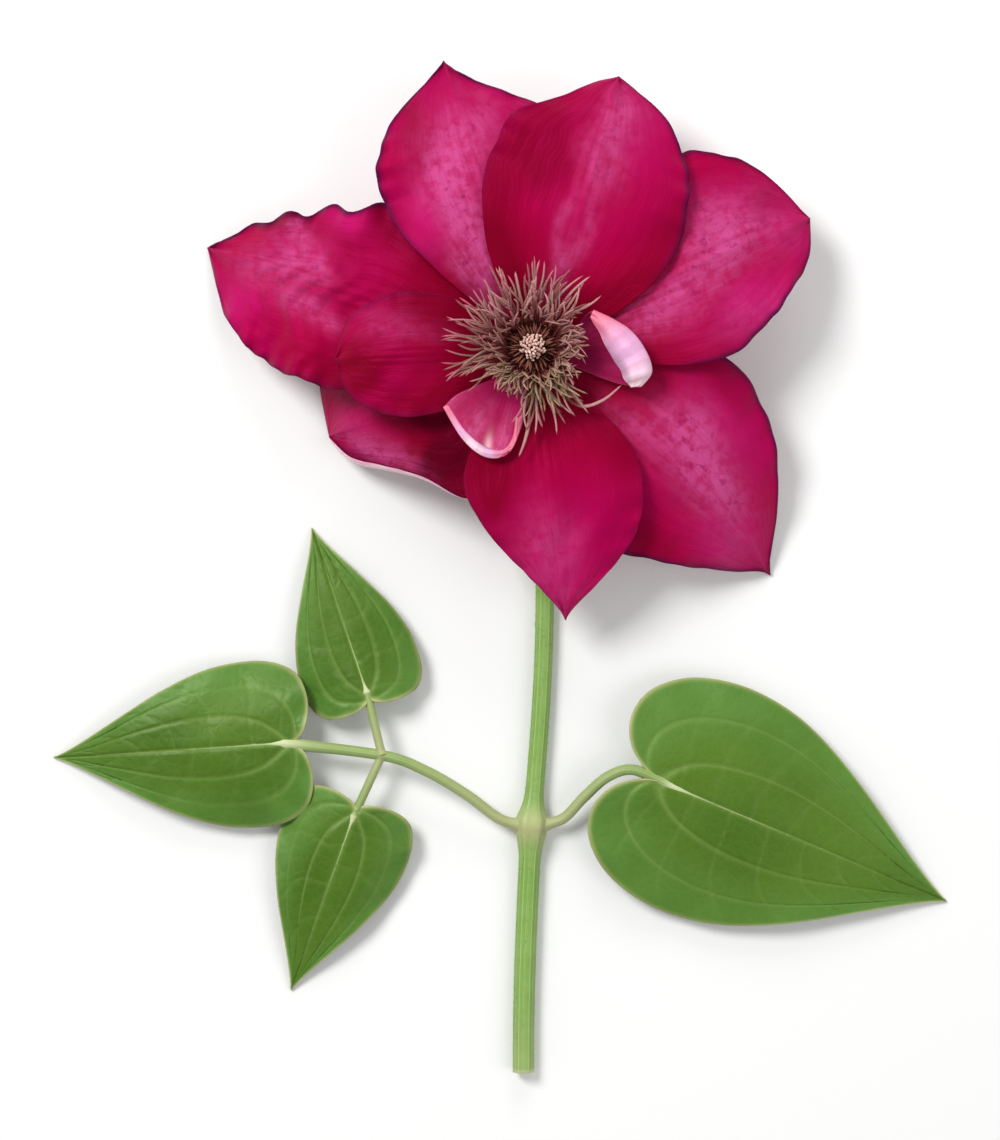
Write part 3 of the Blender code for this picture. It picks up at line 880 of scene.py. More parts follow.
@dataclass(frozen=True)
class LeafFinish(Finish):
    """A leaf's surface: green, with a lighter painted sheen outwards, paler veins, a fine net and a thin pale
    margin.
    """

    blade: Colour
    patch: Colour
    # Colour of the painted sheen
    outer: Colour
    vein: Colour
    margin: Colour
    roughness: float
    net_depth: float

    def write(self, coat: Coat) -> None:
        """Write the finish into a material's node tree.

        Args:
            coat: The material's node tree.
        """
        net = coat.group(coat.palette.net, Place=coat.place, Mesh=0.0021)
        breadth = coat.span(coat.noise(coat.place, 70.0, 3.0), 0.3, 0.7, 0.55, 1.0)
        colour = coat.layers(
            self.blade,
            (coat.span(coat.noise(coat.place, 38.0, 2.0), 0.32, 0.68), self.patch),
            (coat.times(coat.patch, 0.25), self.patch),
            # Painted sheen towards the margin
            (coat.times(coat.mark("outer"), breadth), self.outer),
            (coat.times(net.outputs["Line"], 0.07), self.vein),
            (coat.mark("vein"), self.vein),
            (coat.mark("edge"), self.margin),
        )
        relief = (coat.plus(net.outputs["Height"], coat.times(coat.grain, 0.35)), self.net_depth, 0.8)
        constants = {"Specular IOR Level": 0.36, "Specular Tint": (0.85, 1.0, 0.62)}
        coat.dress(colour, (coat.patch, self.roughness - 0.05, self.roughness + 0.1), relief, constants)


@dataclass(frozen=True)
class StemFinish(Finish):
    """A green stem or leafstalk, ribbed lengthwise, with a brownish flush along part of it."""

    green: Colour
    light: Colour
    flush: Colour
    pith: Colour = (0.62, 0.66, 0.38)
    dark: Colour = (0.180, 0.045, 0.036)

    def write(self, coat: Coat) -> None:
        """Write the finish into a material's node tree.

        Args:
            coat: The material's node tree.
        """
        line, _ = coat.veins(coat.surface_map(), 12.0, 0.02)
        colour = coat.layers(
            self.green,
            (line, self.light),
            (coat.times(coat.patch, 0.3), self.light),
            (coat.mark("flush"), self.flush),
            (coat.mark("pith"), self.pith),
            (coat.mark("dark"), self.dark),
        )
        coat.dress(colour, (coat.grain, 0.42, 0.62), (coat.grain, 0.00006, 0.7))


@dataclass(frozen=True)
class StamenFinish(Finish):
    """Dark filaments that end in slender pinkish brown heads, olive on one side and pink at some tips."""

    root: Colour = (0.190, 0.044, 0.034)
    shaft: Colour = (0.205, 0.040, 0.042)
    head: Colour = (0.215, 0.056, 0.056)
    pale: Colour = (0.52, 0.27, 0.25)
    olive: Colour = (0.270, 0.220, 0.105)
    blush: Colour = (0.62, 0.090, 0.200)

    def write(self, coat: Coat) -> None:
        """Write the finish into a material's node tree.

        Args:
            coat: The material's node tree.
        """
        along = coat.mark("along")
        head = coat.layers(
            self.head,
            (coat.mark("tone"), self.pale),
            (coat.mark("olive"), self.olive),
            (coat.times(coat.mark("blush"), coat.span(along, 0.72, 1.0)), self.blush),
        )
        colour = coat.layers(
            self.root,
            (coat.span(along, 0.10, 0.45), self.shaft),
            (coat.span(along, 0.42, 0.56), head),
            (coat.span(coat.grain, 0.52, 0.75, 0.0, 0.45), self.shaft),
        )
        coat.dress(colour, (coat.grain, 0.5, 0.8), (coat.grain, 0.0001, 1.0), {"Specular IOR Level": 0.3})


# Bloom


@dataclass(frozen=True)
class BloomForm:
    """The sizes that all tepals share, as in the frame's solids."""

    receptacle: float = 4.9
    seat_gap: float = 0.3
    lowest_layer: float = 13.0
    layer_step: float = 1.0
    layer_spread: float = 3.0
    spread_reach: float = 50.0
    shoulder: float = 22.0
    shoulder_rise: float = 2.5
    relief_start: float = 8.0
    relief_full: float = 24.0
    lowest: float = 0.2

    @property
    def start(self) -> float:
        """Return the radius at which the tepals begin."""
        return self.receptacle + self.seat_gap

    def sheet_height(self, layer: int, radius: Array, fall: float) -> Array:
        """Return the height of a layer's dome at a radius, before any cupping or ruffles.

        Args:
            layer: The tepal's layer, 0 for the lowest.
            radius: Distances from the bloom's axis.
            fall: How steeply the dome falls beyond its shoulder.

        Returns:
            The heights of the layer's middle surface.
        """
        reach = np.maximum(0.0, radius - self.start)
        share = np.minimum(1.0, reach / (self.shoulder - self.start))
        rise = self.shoulder_rise * np.sin(0.5 * math.pi * share)
        spread = layer * self.layer_spread * (reach / self.spread_reach) ** 1.2
        drop = fall * np.maximum(0.0, radius - self.shoulder) ** 2
        return self.lowest_layer + layer * self.layer_step + rise + spread - drop


FORM = BloomForm()

# The height of a tepal's tip, at the middle of its thickness, where it touches the surface
TOUCHING = 0.28


@dataclass(frozen=True)
class Glow:
    """A soft patch on a blade, of painted light, painted shadow or clearer colour: where its middle lies, how
    far it reaches, and its turn.
    """

    along: float
    across: float
    reach: float
    spread: float
    power: float = 1.0
    turn: float = 0.0

    def share(self, distance: Array, offset: Array) -> Array:
        """Return the patch's strength at distances along and offsets across a blade, 0 to 1.

        Args:
            distance: Distances along the blade.
            offset: Offsets across it.

        Returns:
            One number for each point.
        """
        angle = math.radians(self.turn)
        x, y = distance - self.along, offset - self.across
        lengthwise = x * math.cos(angle) + y * math.sin(angle)
        sideways = y * math.cos(angle) - x * math.sin(angle)
        return self.power * np.exp(-((lengthwise / self.reach) ** 2) - (sideways / self.spread) ** 2)


@dataclass(frozen=True)
class TepalShape:
    """One tepal: its outline in plan, its relief, and where its painted lit patches and painted shadows lie.

    widest, taper, point, trim, flare, claw and cup shape it as in the frame's solids. curl rolls
    its anticlockwise margin over from curl_start outwards, crinkle is the height of the finest
    ruffles, and wrinkle that of the creases across the blade. Each groove has its depth, its place
    and its width. rims weigh the dark line on the anticlockwise margin and on the other.
    """

    name: str
    azimuth: float
    length: float
    width: float
    widest: float
    taper: float
    layer: int
    tip_height: float
    sweep: float = 0.0
    trim: float = 0.0
    trim_start: float = 0.35
    flare: float = 0.0
    point: float = 0.11
    claw: float = 0.86
    cup: float = 0.0
    roll: float = 0.0
    ruffle: float = 0.8
    waves: float = 3.0
    phase: float = 0.0
    curl: float = 0.0
    notch: float = 0.0
    crinkle: float = 0.30
    wrinkle: float = 0.0
    # How strongly painted shade darkens the throat and where along the blade it ends, and how strongly it
    # darkens the flanks
    throat: float = 0.75
    throat_end: float = 0.45
    flank: float = 0.45
    rims: tuple[float, float] = (1.0, 1.0)
    # Patches of painted light, of painted shadow and of clearer magenta
    glows: tuple[Glow, ...] = ()
    painted_shadows: tuple[Glow, ...] = ()
    vivids: tuple[Glow, ...] = ()
    curl_start: float = 0.88
    midrib: float = 0.45
    grooves: tuple[tuple[float, float, float], ...] = ((0.20, 0.055, 0.022), (0.13, 0.16, 0.026))
    fine_rib: float = 0.022
    unevenness: float = 0.26

    MARKS = ("glow", "painted_shade", "vivid", "warmth", "edge", "flush", "rib")

    def uneven(self, along: Array, v: Array, use: Unevenness) -> Array:
        """Return the tepal's own random unevenness for one use, about -1 to 1."""
        return ripple(along, v, int(self.azimuth) + use.value)

    def run(self, u: Array) -> Array:
        """Return the share along the blade for a grid row, with rows crowding towards the tip."""
        return 1.0 - (1.0 - u) ** 1.4

    def distance(self, u: Array) -> Array:
        """Return how far along the midline a grid row lies, from the bloom's axis."""
        return FORM.start + (self.length - FORM.start) * self.run(u)

    def half_width(self, distance: Array) -> Array:
        """Return half the width at distances along the midline.

        Args:
            distance: Distances from the bloom's axis.

        Returns:
            Half the width at each.
        """
        share = np.clip(distance / self.length, 0.0, 1.0)
        power = self.taper * self.widest / (1.0 - self.widest)
        outline = ((1.0 - share) / (1.0 - self.widest)) ** self.taper * (share / self.widest) ** power
        closing = (1.0 - share) / self.point
        drawn_in = (closing / (1.0 + closing**4) ** 0.25) ** 0.5
        free = 0.5 * self.width * outline * drawn_in
        limit = self.claw * distance
        return free * limit / (free**6 + limit**6) ** (1.0 / 6.0)

    def offset(self, u: Array, v: Array) -> Array:
        """Return how far across the blade points (u, v) lie, before any sweep.

        Args:
            u: Shares along the blade.
            v: Shares across the blade.

        Returns:
            Offsets to the clockwise side.
        """
        run, distance = self.run(u), self.distance(u)
        half = self.half_width(distance)
        share = distance / self.length
        trimmed = 1.0 - abs(self.trim) * smooth_step(share, self.trim_start, 0.95)
        trimmed = trimmed * (1.0 + self.flare * bump_line(share - 0.5, 0.15))
        half = np.where(v * self.trim < 0.0, half * trimmed, half)
        turns = TURN * (1.7 * self.waves * run + self.phase + 0.25 * np.sin(7.0 * run))
        depth = 0.012 + np.where(v > 0.0, self.notch, 0.0)
        scallop = depth * np.sin(turns) * smooth_step(run, 0.2, 0.5)
        scallop += 0.006 * np.sin(2.3 * turns + 3.0 * np.sign(v)) * smooth_step(run, 0.3, 0.6)
        return v * half * (1.0 + scallop * np.abs(v) ** 3)

    def relief(self, run: Array, v: Array, edge: Array) -> Array:
        """Return how far the blade stands off its dome, from its cupping to its finest ribs.

        Args:
            run: Share along the blade.
            v: Share across the blade.
            edge: How close to the margin a point is, 0 to 1.

        Returns:
            Heights in millimetres.
        """
        side = np.where(v > 0.0, 1.3, 0.0)
        height = self.cup + self.ruffle * np.sin(TURN * (self.waves * run + self.phase) + side)
        height = height * edge + self.roll * np.maximum(0.0, -v) ** 3 * edge**0.5
        height += self.midrib * bump_line(v, 0.16)
        fade = smooth_step(1.0 - run, 0.02, 0.35)
        for depth, middle, width in self.grooves:
            height -= depth * fade * bump_line(np.abs(v) - middle, width)
        height += self.fine_rib * fade * np.cos(TURN * (7.5 * v + 0.2 * np.sin(5.0 * run + 3.0 * v)))
        margin = np.abs(v) ** 5
        turns = TURN * (3.1 * self.waves * run + 0.37 * np.sin(9.0 * run) + side)
        height += self.crinkle * margin * np.sin(turns) * smooth_step(run, 0.12, 0.4)
        uneven = self.uneven(run, v, Unevenness.RELIEF)
        height += self.unevenness * uneven * smooth_step(run, 0.1, 0.5)
        creases = np.sin(TURN * (13.0 * run + 0.9 * v + 0.5 * np.sin(7.0 * v)))
        height += self.wrinkle * creases * bump_line(run - 0.66, 0.16) * bump_line(v + 0.2, 0.6)
        return height

    def place(self, u: Array, v: Array) -> Array:
        """Return the places of points (u, v), in millimetres from the bloom's axis.

        Args:
            u: Shares along the blade.
            v: Shares across the blade.

        Returns:
            One row of coordinates for each point.
        """
        along, across = heading(self.azimuth)
        tip_radius = math.hypot(self.length, self.sweep)
        flat_tip = FORM.sheet_height(self.layer, np.array([tip_radius]), 0.0)[0]
        fall = (flat_tip - self.tip_height) / (tip_radius - FORM.shoulder) ** 2
        run, distance = self.run(u), self.distance(u)
        offset, turn = self.offset(u, v), np.zeros_like(v)
        if self.curl:
            offset = self.offset(u, np.maximum(v, -self.curl_start))
            rolled = np.maximum(0.0, -v - self.curl_start) / (1.0 - self.curl_start)
            turn = 3.0 * rolled * smooth_step(run, 0.25, 0.6)
        curl = self.curl * (0.55 + 0.45 * smooth_step(run, 0.55, 0.92))
        offset = offset - curl * np.sin(turn) + self.sweep * run**2
        spot = along * distance[:, None] + across * offset[:, None]
        radius = np.hypot(spot[:, 0], spot[:, 1])
        ramp = smooth_step(radius, FORM.relief_start, FORM.relief_full)
        edge = v * v * 2.0 * self.half_width(distance) / self.width
        height = FORM.sheet_height(self.layer, radius, fall) + ramp * self.relief(run, v, edge)
        spot[:, 2] = np.maximum(height + curl * (1.0 - np.cos(turn)), FORM.lowest)
        return spot

    def patches(self, u: Array, v: Array, patches: Sequence[Glow]) -> Array:
        """Return the sum of soft patches over the blade, with their outlines blurred unevenly.

        Args:
            u: Shares along the blade.
            v: Shares across the blade.
            patches: The patches.

        Returns:
            One number for each point.
        """
        warp = 1.6 * self.uneven(u, v, Unevenness.PATCHES)
        distance, offset = self.distance(u) + warp, self.offset(u, v) + 0.7 * warp
        return sum((patch.share(distance, offset) for patch in patches), np.zeros_like(u))

    def glow(self, u: Array, v: Array) -> Array:
        """Return how strongly the painted lit patches show, 0 to 1."""
        return np.clip(self.patches(u, v, self.glows), 0.0, 1.0)

    def painted_shade(self, u: Array, v: Array) -> Array:
        """Return the painted shade of the throat, the flanks and the painted shadows, above 1 for the
        darkest.

        Args:
            u: Shares along the blade.
            v: Shares across the blade.

        Returns:
            One number for each point.
        """
        run = self.run(u)
        throat = 1.0 - smooth_step(run, 0.05, self.throat_end)
        flank = smooth_step(np.abs(v), 0.35, 0.9) * (1.0 - smooth_step(run, 0.45, 0.85))
        return self.throat * throat + self.flank * flank + self.patches(u, v, self.painted_shadows)

    def vivid(self, u: Array, v: Array) -> Array:
        """Return where the crimson turns to a clear magenta, 0 to 1."""
        return np.clip(self.patches(u, v, self.vivids), 0.0, 1.0)

    def warmth(self, u: Array, v: Array) -> Array:
        """Return where the crimson turns to a warmer red, towards the throat, 0 to 1."""
        return 0.9 * (1.0 - smooth_step(self.run(u), 0.15, 0.6))

    def edge(self, u: Array, v: Array) -> Array:
        """Return the thin dark line along the margin, 0 to 1, fainter where the margin lies on a blade.

        Args:
            u: Shares along the blade.
            v: Shares across the blade.

        Returns:
            One number for each point.
        """
        inset = np.abs(self.offset(u, np.where(v < 0.0, -1.0, 1.0)) - self.offset(u, v))
        run = self.run(u)
        strength = np.where(v < 0.0, *self.rims) * (0.85 + 0.15 * self.uneven(u, v, Unevenness.MARGIN))
        ends = smooth_step(run, 0.22, 0.48) * (1.0 - 0.4 * smooth_step(run, 0.92, 1.0))
        return np.clip(strength * bump_line(inset, 0.95) * ends, 0.0, 0.92)

    def flush(self, u: Array, v: Array) -> Array:
        """Return where the reverse takes the face's colour, near the margin, 0 to 1."""
        return (0.0 if self.curl else 0.85) * smooth_step(np.abs(v), 0.62, 0.98)

    def rib(self, u: Array, v: Array) -> Array:
        """Return where the reverse carries its pale bar, 0 to 1."""
        return bump_line(v, 0.16) * (1.0 - 0.5 * u)


# Each tepal lists its patches of painted light, painted shadow and clearer magenta
TEPALS = (
    TepalShape(
        "tepal_1", -17, 58, 39, 0.6, 0.8, 2, 12, trim=-0.5, trim_start=0.68, point=0.12,
        claw=0.76, cup=0.5, ruffle=1, phase=0.1, crinkle=0.4, flank=0.3,
        glows=(Glow(20, -5, 10, 3.8), Glow(34, -5.5, 9.5, 5.4), Glow(43, 1, 7, 6, 0.6)),
        painted_shadows=(Glow(48.5, -9.5, 8, 3.6, 0.6),),
        vivids=(Glow(28, -12.5, 7, 3.6, 0.8),),
    ),
    TepalShape(
        "tepal_2", 21, 54.2, 39.5, 0.56, 0.56, 3, 17, sweep=-3.2, trim=0.45, trim_start=0.72,
        point=0.05, claw=1.2, cup=-0.7, ruffle=0.6, waves=2.5, phase=0.4, flank=0.7,
        glows=(Glow(40, 1.6, 8.5, 4, 0.7), Glow(49, 3, 5, 4.5, 0.4), Glow(25, -2.6, 6, 1.2, 0.45),
               Glow(24, 2, 7, 1.2, 0.4), Glow(16.5, -0.5, 5, 2, 0.7)),
        painted_shadows=(Glow(41, -12, 12, 7, 0.65), Glow(33, -7, 8, 3.5, 0.45)),
        vivids=(Glow(43, 9, 9, 5, 0.3), Glow(22, 0, 9, 6, 0.3)), rims=(0.3, 1),
    ),
    TepalShape(
        "tepal_3", 61.5, 59, 44, 0.62, 0.58, 2, 11, sweep=3.2, trim=-0.4, point=0.04, claw=0.76,
        cup=0.4, phase=0.7,
        glows=(Glow(26, 4, 10, 4, 0.85, -8), Glow(42, -2.5, 9, 6, 1, -20),
               Glow(40, 13, 9, 4, 0.3), Glow(40, -9.5, 5, 3.5, 0.3), Glow(53, 0, 4.5, 4, 0.3)),
        painted_shadows=(Glow(52, -7, 4, 3, 0.6),),
        vivids=(Glow(53, 0.5, 6, 6, 0.5), Glow(42, 11.5, 10, 5.5, 0.9), Glow(47, -8, 6, 4, 0.4)),
    ),
    TepalShape(
        "tepal_4", 126, 63, 46, 0.5, 0.85, 1, TOUCHING, sweep=7.4, trim=-0.4, cup=-0.6,
        waves=2.6, phase=0.2,
        glows=(Glow(34, -5.5, 8.5, 6, 0.9), Glow(45, -2.5, 8.5, 4.8, 0.9), Glow(23, 0, 6, 3, 0.5),
               Glow(55, 4.5, 5, 4.5, 0.3)),
        painted_shadows=(Glow(38, 14, 12, 3.5, 0.35),),
        vivids=(Glow(54, 1, 8, 7, 0.7), Glow(38, -13, 12, 4, 0.5), Glow(49, 6, 6, 4, 0.4)),
    ),
    TepalShape(
        "tepal_5", 172, 52, 36.5, 0.5, 0.9, 2, 12, sweep=0.8, trim=-0.46, point=0.16, cup=0.6,
        ruffle=0.6, waves=2.2, phase=0.9, throat_end=0.62,
        glows=(Glow(38, 2, 7, 5.5, 0.45), Glow(49, 1, 6, 4.5, 0.3)),
        painted_shadows=(Glow(23, 10, 7, 4, 0.8),),
        vivids=(Glow(43, 1, 8, 7, 0.8),), rims=(0.25, 0.3),
    ),
    TepalShape(
        "tepal_6", 248, 42.5, 41, 0.6, 0.46, 0, TOUCHING, trim=0.45, flare=0.36, point=0.05,
        claw=1.1, cup=0.5, roll=1.2, ruffle=0.5, waves=2, curl=1.25, throat=1, throat_end=1, flank=0.6,
        glows=(Glow(34, -8.5, 9.5, 2.8, 0.9, 53),),
        painted_shadows=(Glow(24.5, -13, 6, 5, 1.9), Glow(28.5, -0.2, 11, 2.9, 2, 45)),
        vivids=(Glow(37, 0, 6, 5, 0.5),), rims=(0.6, 0.6),
    ),
    TepalShape(
        "tepal_7", 267, 37.5, 24, 0.58, 0.46, 3, 17, point=0.04, cup=-0.7, ruffle=0.3,
        waves=2, phase=0.3, crinkle=0.15, throat=0.88, throat_end=1.25, flank=0.5,
        glows=(Glow(28, 6, 6, 2.6, 0.26), Glow(21, 4, 7, 2, 0.15)),
        painted_shadows=(Glow(33.5, -2.5, 5.5, 6, 0.9),), rims=(0.45, 0.45),
    ),
    TepalShape(
        "tepal_8", 287, 66.5, 38, 0.58, 0.6, 1, TOUCHING, sweep=1.4, trim=-0.42, cup=0.2,
        ruffle=1.5, waves=4.5, phase=0.55, crinkle=0.5, wrinkle=0.42, notch=0.06, throat_end=0.72, flank=0.6,
        glows=(Glow(48.5, 2.5, 5.6, 5, 0.85), Glow(56, -1.5, 4.5, 3, 0.55), Glow(42.5, 2.4, 1.8, 1.6, 0.55),
               Glow(49.3, 8.2, 1.8, 1.5, 0.6), Glow(45, -5, 4, 2.4, 0.65), Glow(39.5, -6.5, 2.6, 1.6, 0.55)),
        painted_shadows=(Glow(53.5, 9.2, 6, 2.2, 1.3), Glow(49.5, 13, 3.6, 1.8, 0.8), Glow(38.5, 3.5, 3, 6, 0.35)),
        vivids=(Glow(41, 13, 4.5, 3, 0.9), Glow(57, -8.5, 5, 3.5, 0.8)), rims=(0.6, 1.15),
    ),
)


@dataclass(frozen=True)
class PetaloidShape:
    """A half-formed tepal beside the stamens: a narrow claw and a spoon whose end curls back over it.

    fold holds points of the line where the blade turns back, and margin points of its curled edge,
    each seen from above, from the anticlockwise side to the clockwise one. heights are those of the
    claw's root, of two places along the claw and of the fold.
    """

    name: str
    azimuth: float
    fold: Points
    margin: Points
    heights: tuple[float, float, float, float]
    rise: float
    rim: float
    bulge: float
    # How much of the inside shows painted light rather than painted shade
    inside: float
    paleness: tuple[float, ...]
    # How strong the painted highlight along the fold inside is
    streak: float = 0.0
    claw_width: float = 2.4

    MARKS = ("glow", "painted_shade", "edge", "pale", "shade", "flush")

    def place(self, u: Array, v: Array) -> Array:
        """Return the places of points (u, v), in millimetres from the bloom's axis.

        Args:
            u: Shares along the blade.
            v: Shares across the blade.

        Returns:
            One row of coordinates for each point.
        """
        along, across = heading(self.azimuth)
        share = 0.5 * (v + 1.0)
        flat = np.zeros((len(v), 1))
        fold = np.hstack([curve_through(self.fold, share), flat])
        margin = np.hstack([curve_through(self.margin, share), flat])
        claw = along * FORM.start + across * (0.5 * self.claw_width * v)[:, None]
        margin = margin + (margin - fold) * (0.05 * np.sin(4.0 * v + 1.0) + 0.015 * np.sin(13.0 * v))[:, None]
        depth = np.linalg.norm(fold - margin, axis=1)[:, None]
        swell = across * (self.bulge * v)[:, None]
        rim = UP * (self.rim * v * v)[:, None]
        low, first, second, high = self.heights
        stations = (
            claw + UP * low,
            claw + (fold - claw) * 0.35 + UP * first + 0.6 * rim + 0.6 * swell,
            claw + (fold - claw) * 0.74 + UP * second + rim + swell,
            fold + UP * high + 0.5 * rim,
            fold + (margin - fold) * 0.30 + UP * (high + self.rise * depth),
            fold + (margin - fold) * 0.72 + UP * (high + 0.9 * self.rise * depth),
            margin + UP * (high + 0.25 * self.rise * depth),
        )
        spot = curve_through(stations, u)
        blade = smooth_step(u, 0.1, 0.5)
        spot[:, 2] += 0.10 * np.cos(TURN * 3.2 * v) * blade + 0.22 * blade * ripple(u, v, int(self.azimuth))
        return spot

    def glow(self, u: Array, v: Array) -> Array:
        """Return the pink painted light on the inside, 0 to 1, in soft streaks."""
        return self.inside * (0.6 + 0.4 * np.cos(11.0 * v + 2.0 * u)) * smooth_step(u, 0.12, 0.4)

    def painted_shade(self, u: Array, v: Array) -> Array:
        """Return the painted shade on the inside, 0 to 1."""
        return (1.0 - self.inside) * np.ones_like(u)

    def edge(self, u: Array, v: Array) -> Array:
        """Return a painted highlight along a fold inside a petaloid, 0 to 1."""
        return self.streak * bump_line(v - 0.18 + 0.6 * (u - 0.42), 0.07) * bump_line(u - 0.42, 0.07)

    def pale(self, u: Array, v: Array) -> Array:
        """Return how pale the curled end is, from the claw's pink at 0 to near white at 1."""
        return np.interp(v, np.linspace(-1.0, 1.0, len(self.paleness)), self.paleness)

    def shade(self, u: Array, v: Array) -> Array:
        """Return the painted shade on the curled end, along the middle of its margin, 0 to 1."""
        return 0.8 * smooth_step(u, 0.78, 0.98) * bump_line(v - 0.2, 0.45)

    def flush(self, u: Array, v: Array) -> Array:
        """Return where the reverse is magenta, near the claw, 0 to 1."""
        return 0.8 * (1.0 - smooth_step(u, 0.30, 0.52))


PETALOIDS = (
    PetaloidShape(
        "petaloid_1", 100,
        ((11.4, 6.8), (15, 5.2), (18.6, 2.8), (21.2, -0.8), (22.3, -4.6), (20.2, -7.4)),
        ((11, 5.6), (12.4, 2.8), (14.2, -0.4), (16.4, -3.4), (17.4, -6.2), (18.6, -7.6)),
        (17, 18.7, 20.9, 22.6), 0.42, 0.5, 0.8, 0.15, (0, 0.25, 0.5, 0.75, 1),
    ),
    PetaloidShape(
        "petaloid_2", 207,
        ((-2.6, -13.4), (-3.2, -17.6), (-5.4, -20.3), (-9.2, -20.2), (-13.1, -16.9), (-16.6, -11.1)),
        ((-3, -13), (-3.7, -17.2), (-5.5, -19.5), (-8.9, -19), (-12.4, -16.2), (-16, -10.9)),
        (17, 18.6, 20.2, 21.2), 0.45, 0.9, 1, 0.9, (0, 0, 0, 0.05, 0.3, 0.75, 0.85, 0.3, 0), 1,
    ),
)


TEPAL_FINISHES = (
    TepalFinish(),
    ReverseFinish(),
    TepalFinish("tepal_rim", side=(0.12, 0.003, 0.03), lit=(0.2, 0.01, 0.07)),
)
PETALOID_FINISHES = (
    TepalFinish(
        "petaloid_inside",
        side=(0.38, 0.012, 0.10),
        # The colours of the inside's painted light and painted shade, and of the painted highlight on its
        # fold
        lit=(0.54, 0.085, 0.22),
        painted_shade=(0.22, 0.006, 0.040),
        edge=(0.84, 0.44, 0.52),
    ),
    CurlFinish("petaloid_reverse"),
    CurlFinish("petaloid_rim", white=(0.74, 0.44, 0.54)),
)


@dataclass
class Corolla:
    """All the tepals and petaloids, in their layers round the bloom's axis."""

    centre: Array
    palette: Palette
    tepal_grid: tuple[int, int] = (120, 88)
    petaloid_grid: tuple[int, int] = (80, 48)
    thickness: float = 0.36

    def build(self) -> None:
        """Make every tepal and petaloid in the place of its node."""
        kinds = (
            ("tepal", TEPALS, self.tepal_grid, TEPAL_FINISHES),
            ("petaloid", PETALOIDS, self.petaloid_grid, PETALOID_FINISHES),
        )
        for slot, shapes, grid, finishes in kinds:
            surfaces = self.palette.surfaces(finishes)
            for shape in shapes:
                blade = Blade(shape.name + "_petal", shape, *grid, self.thickness, self.centre)
                seat(blade.build(surfaces), shape.name)


@dataclass(frozen=True)
class StamenLook:
    """How one stamen is coloured: its tone, its olive share and how pink its tip is."""

    tone: float = 0.0
    olive: float = 0.0
    blush: float = 0.0


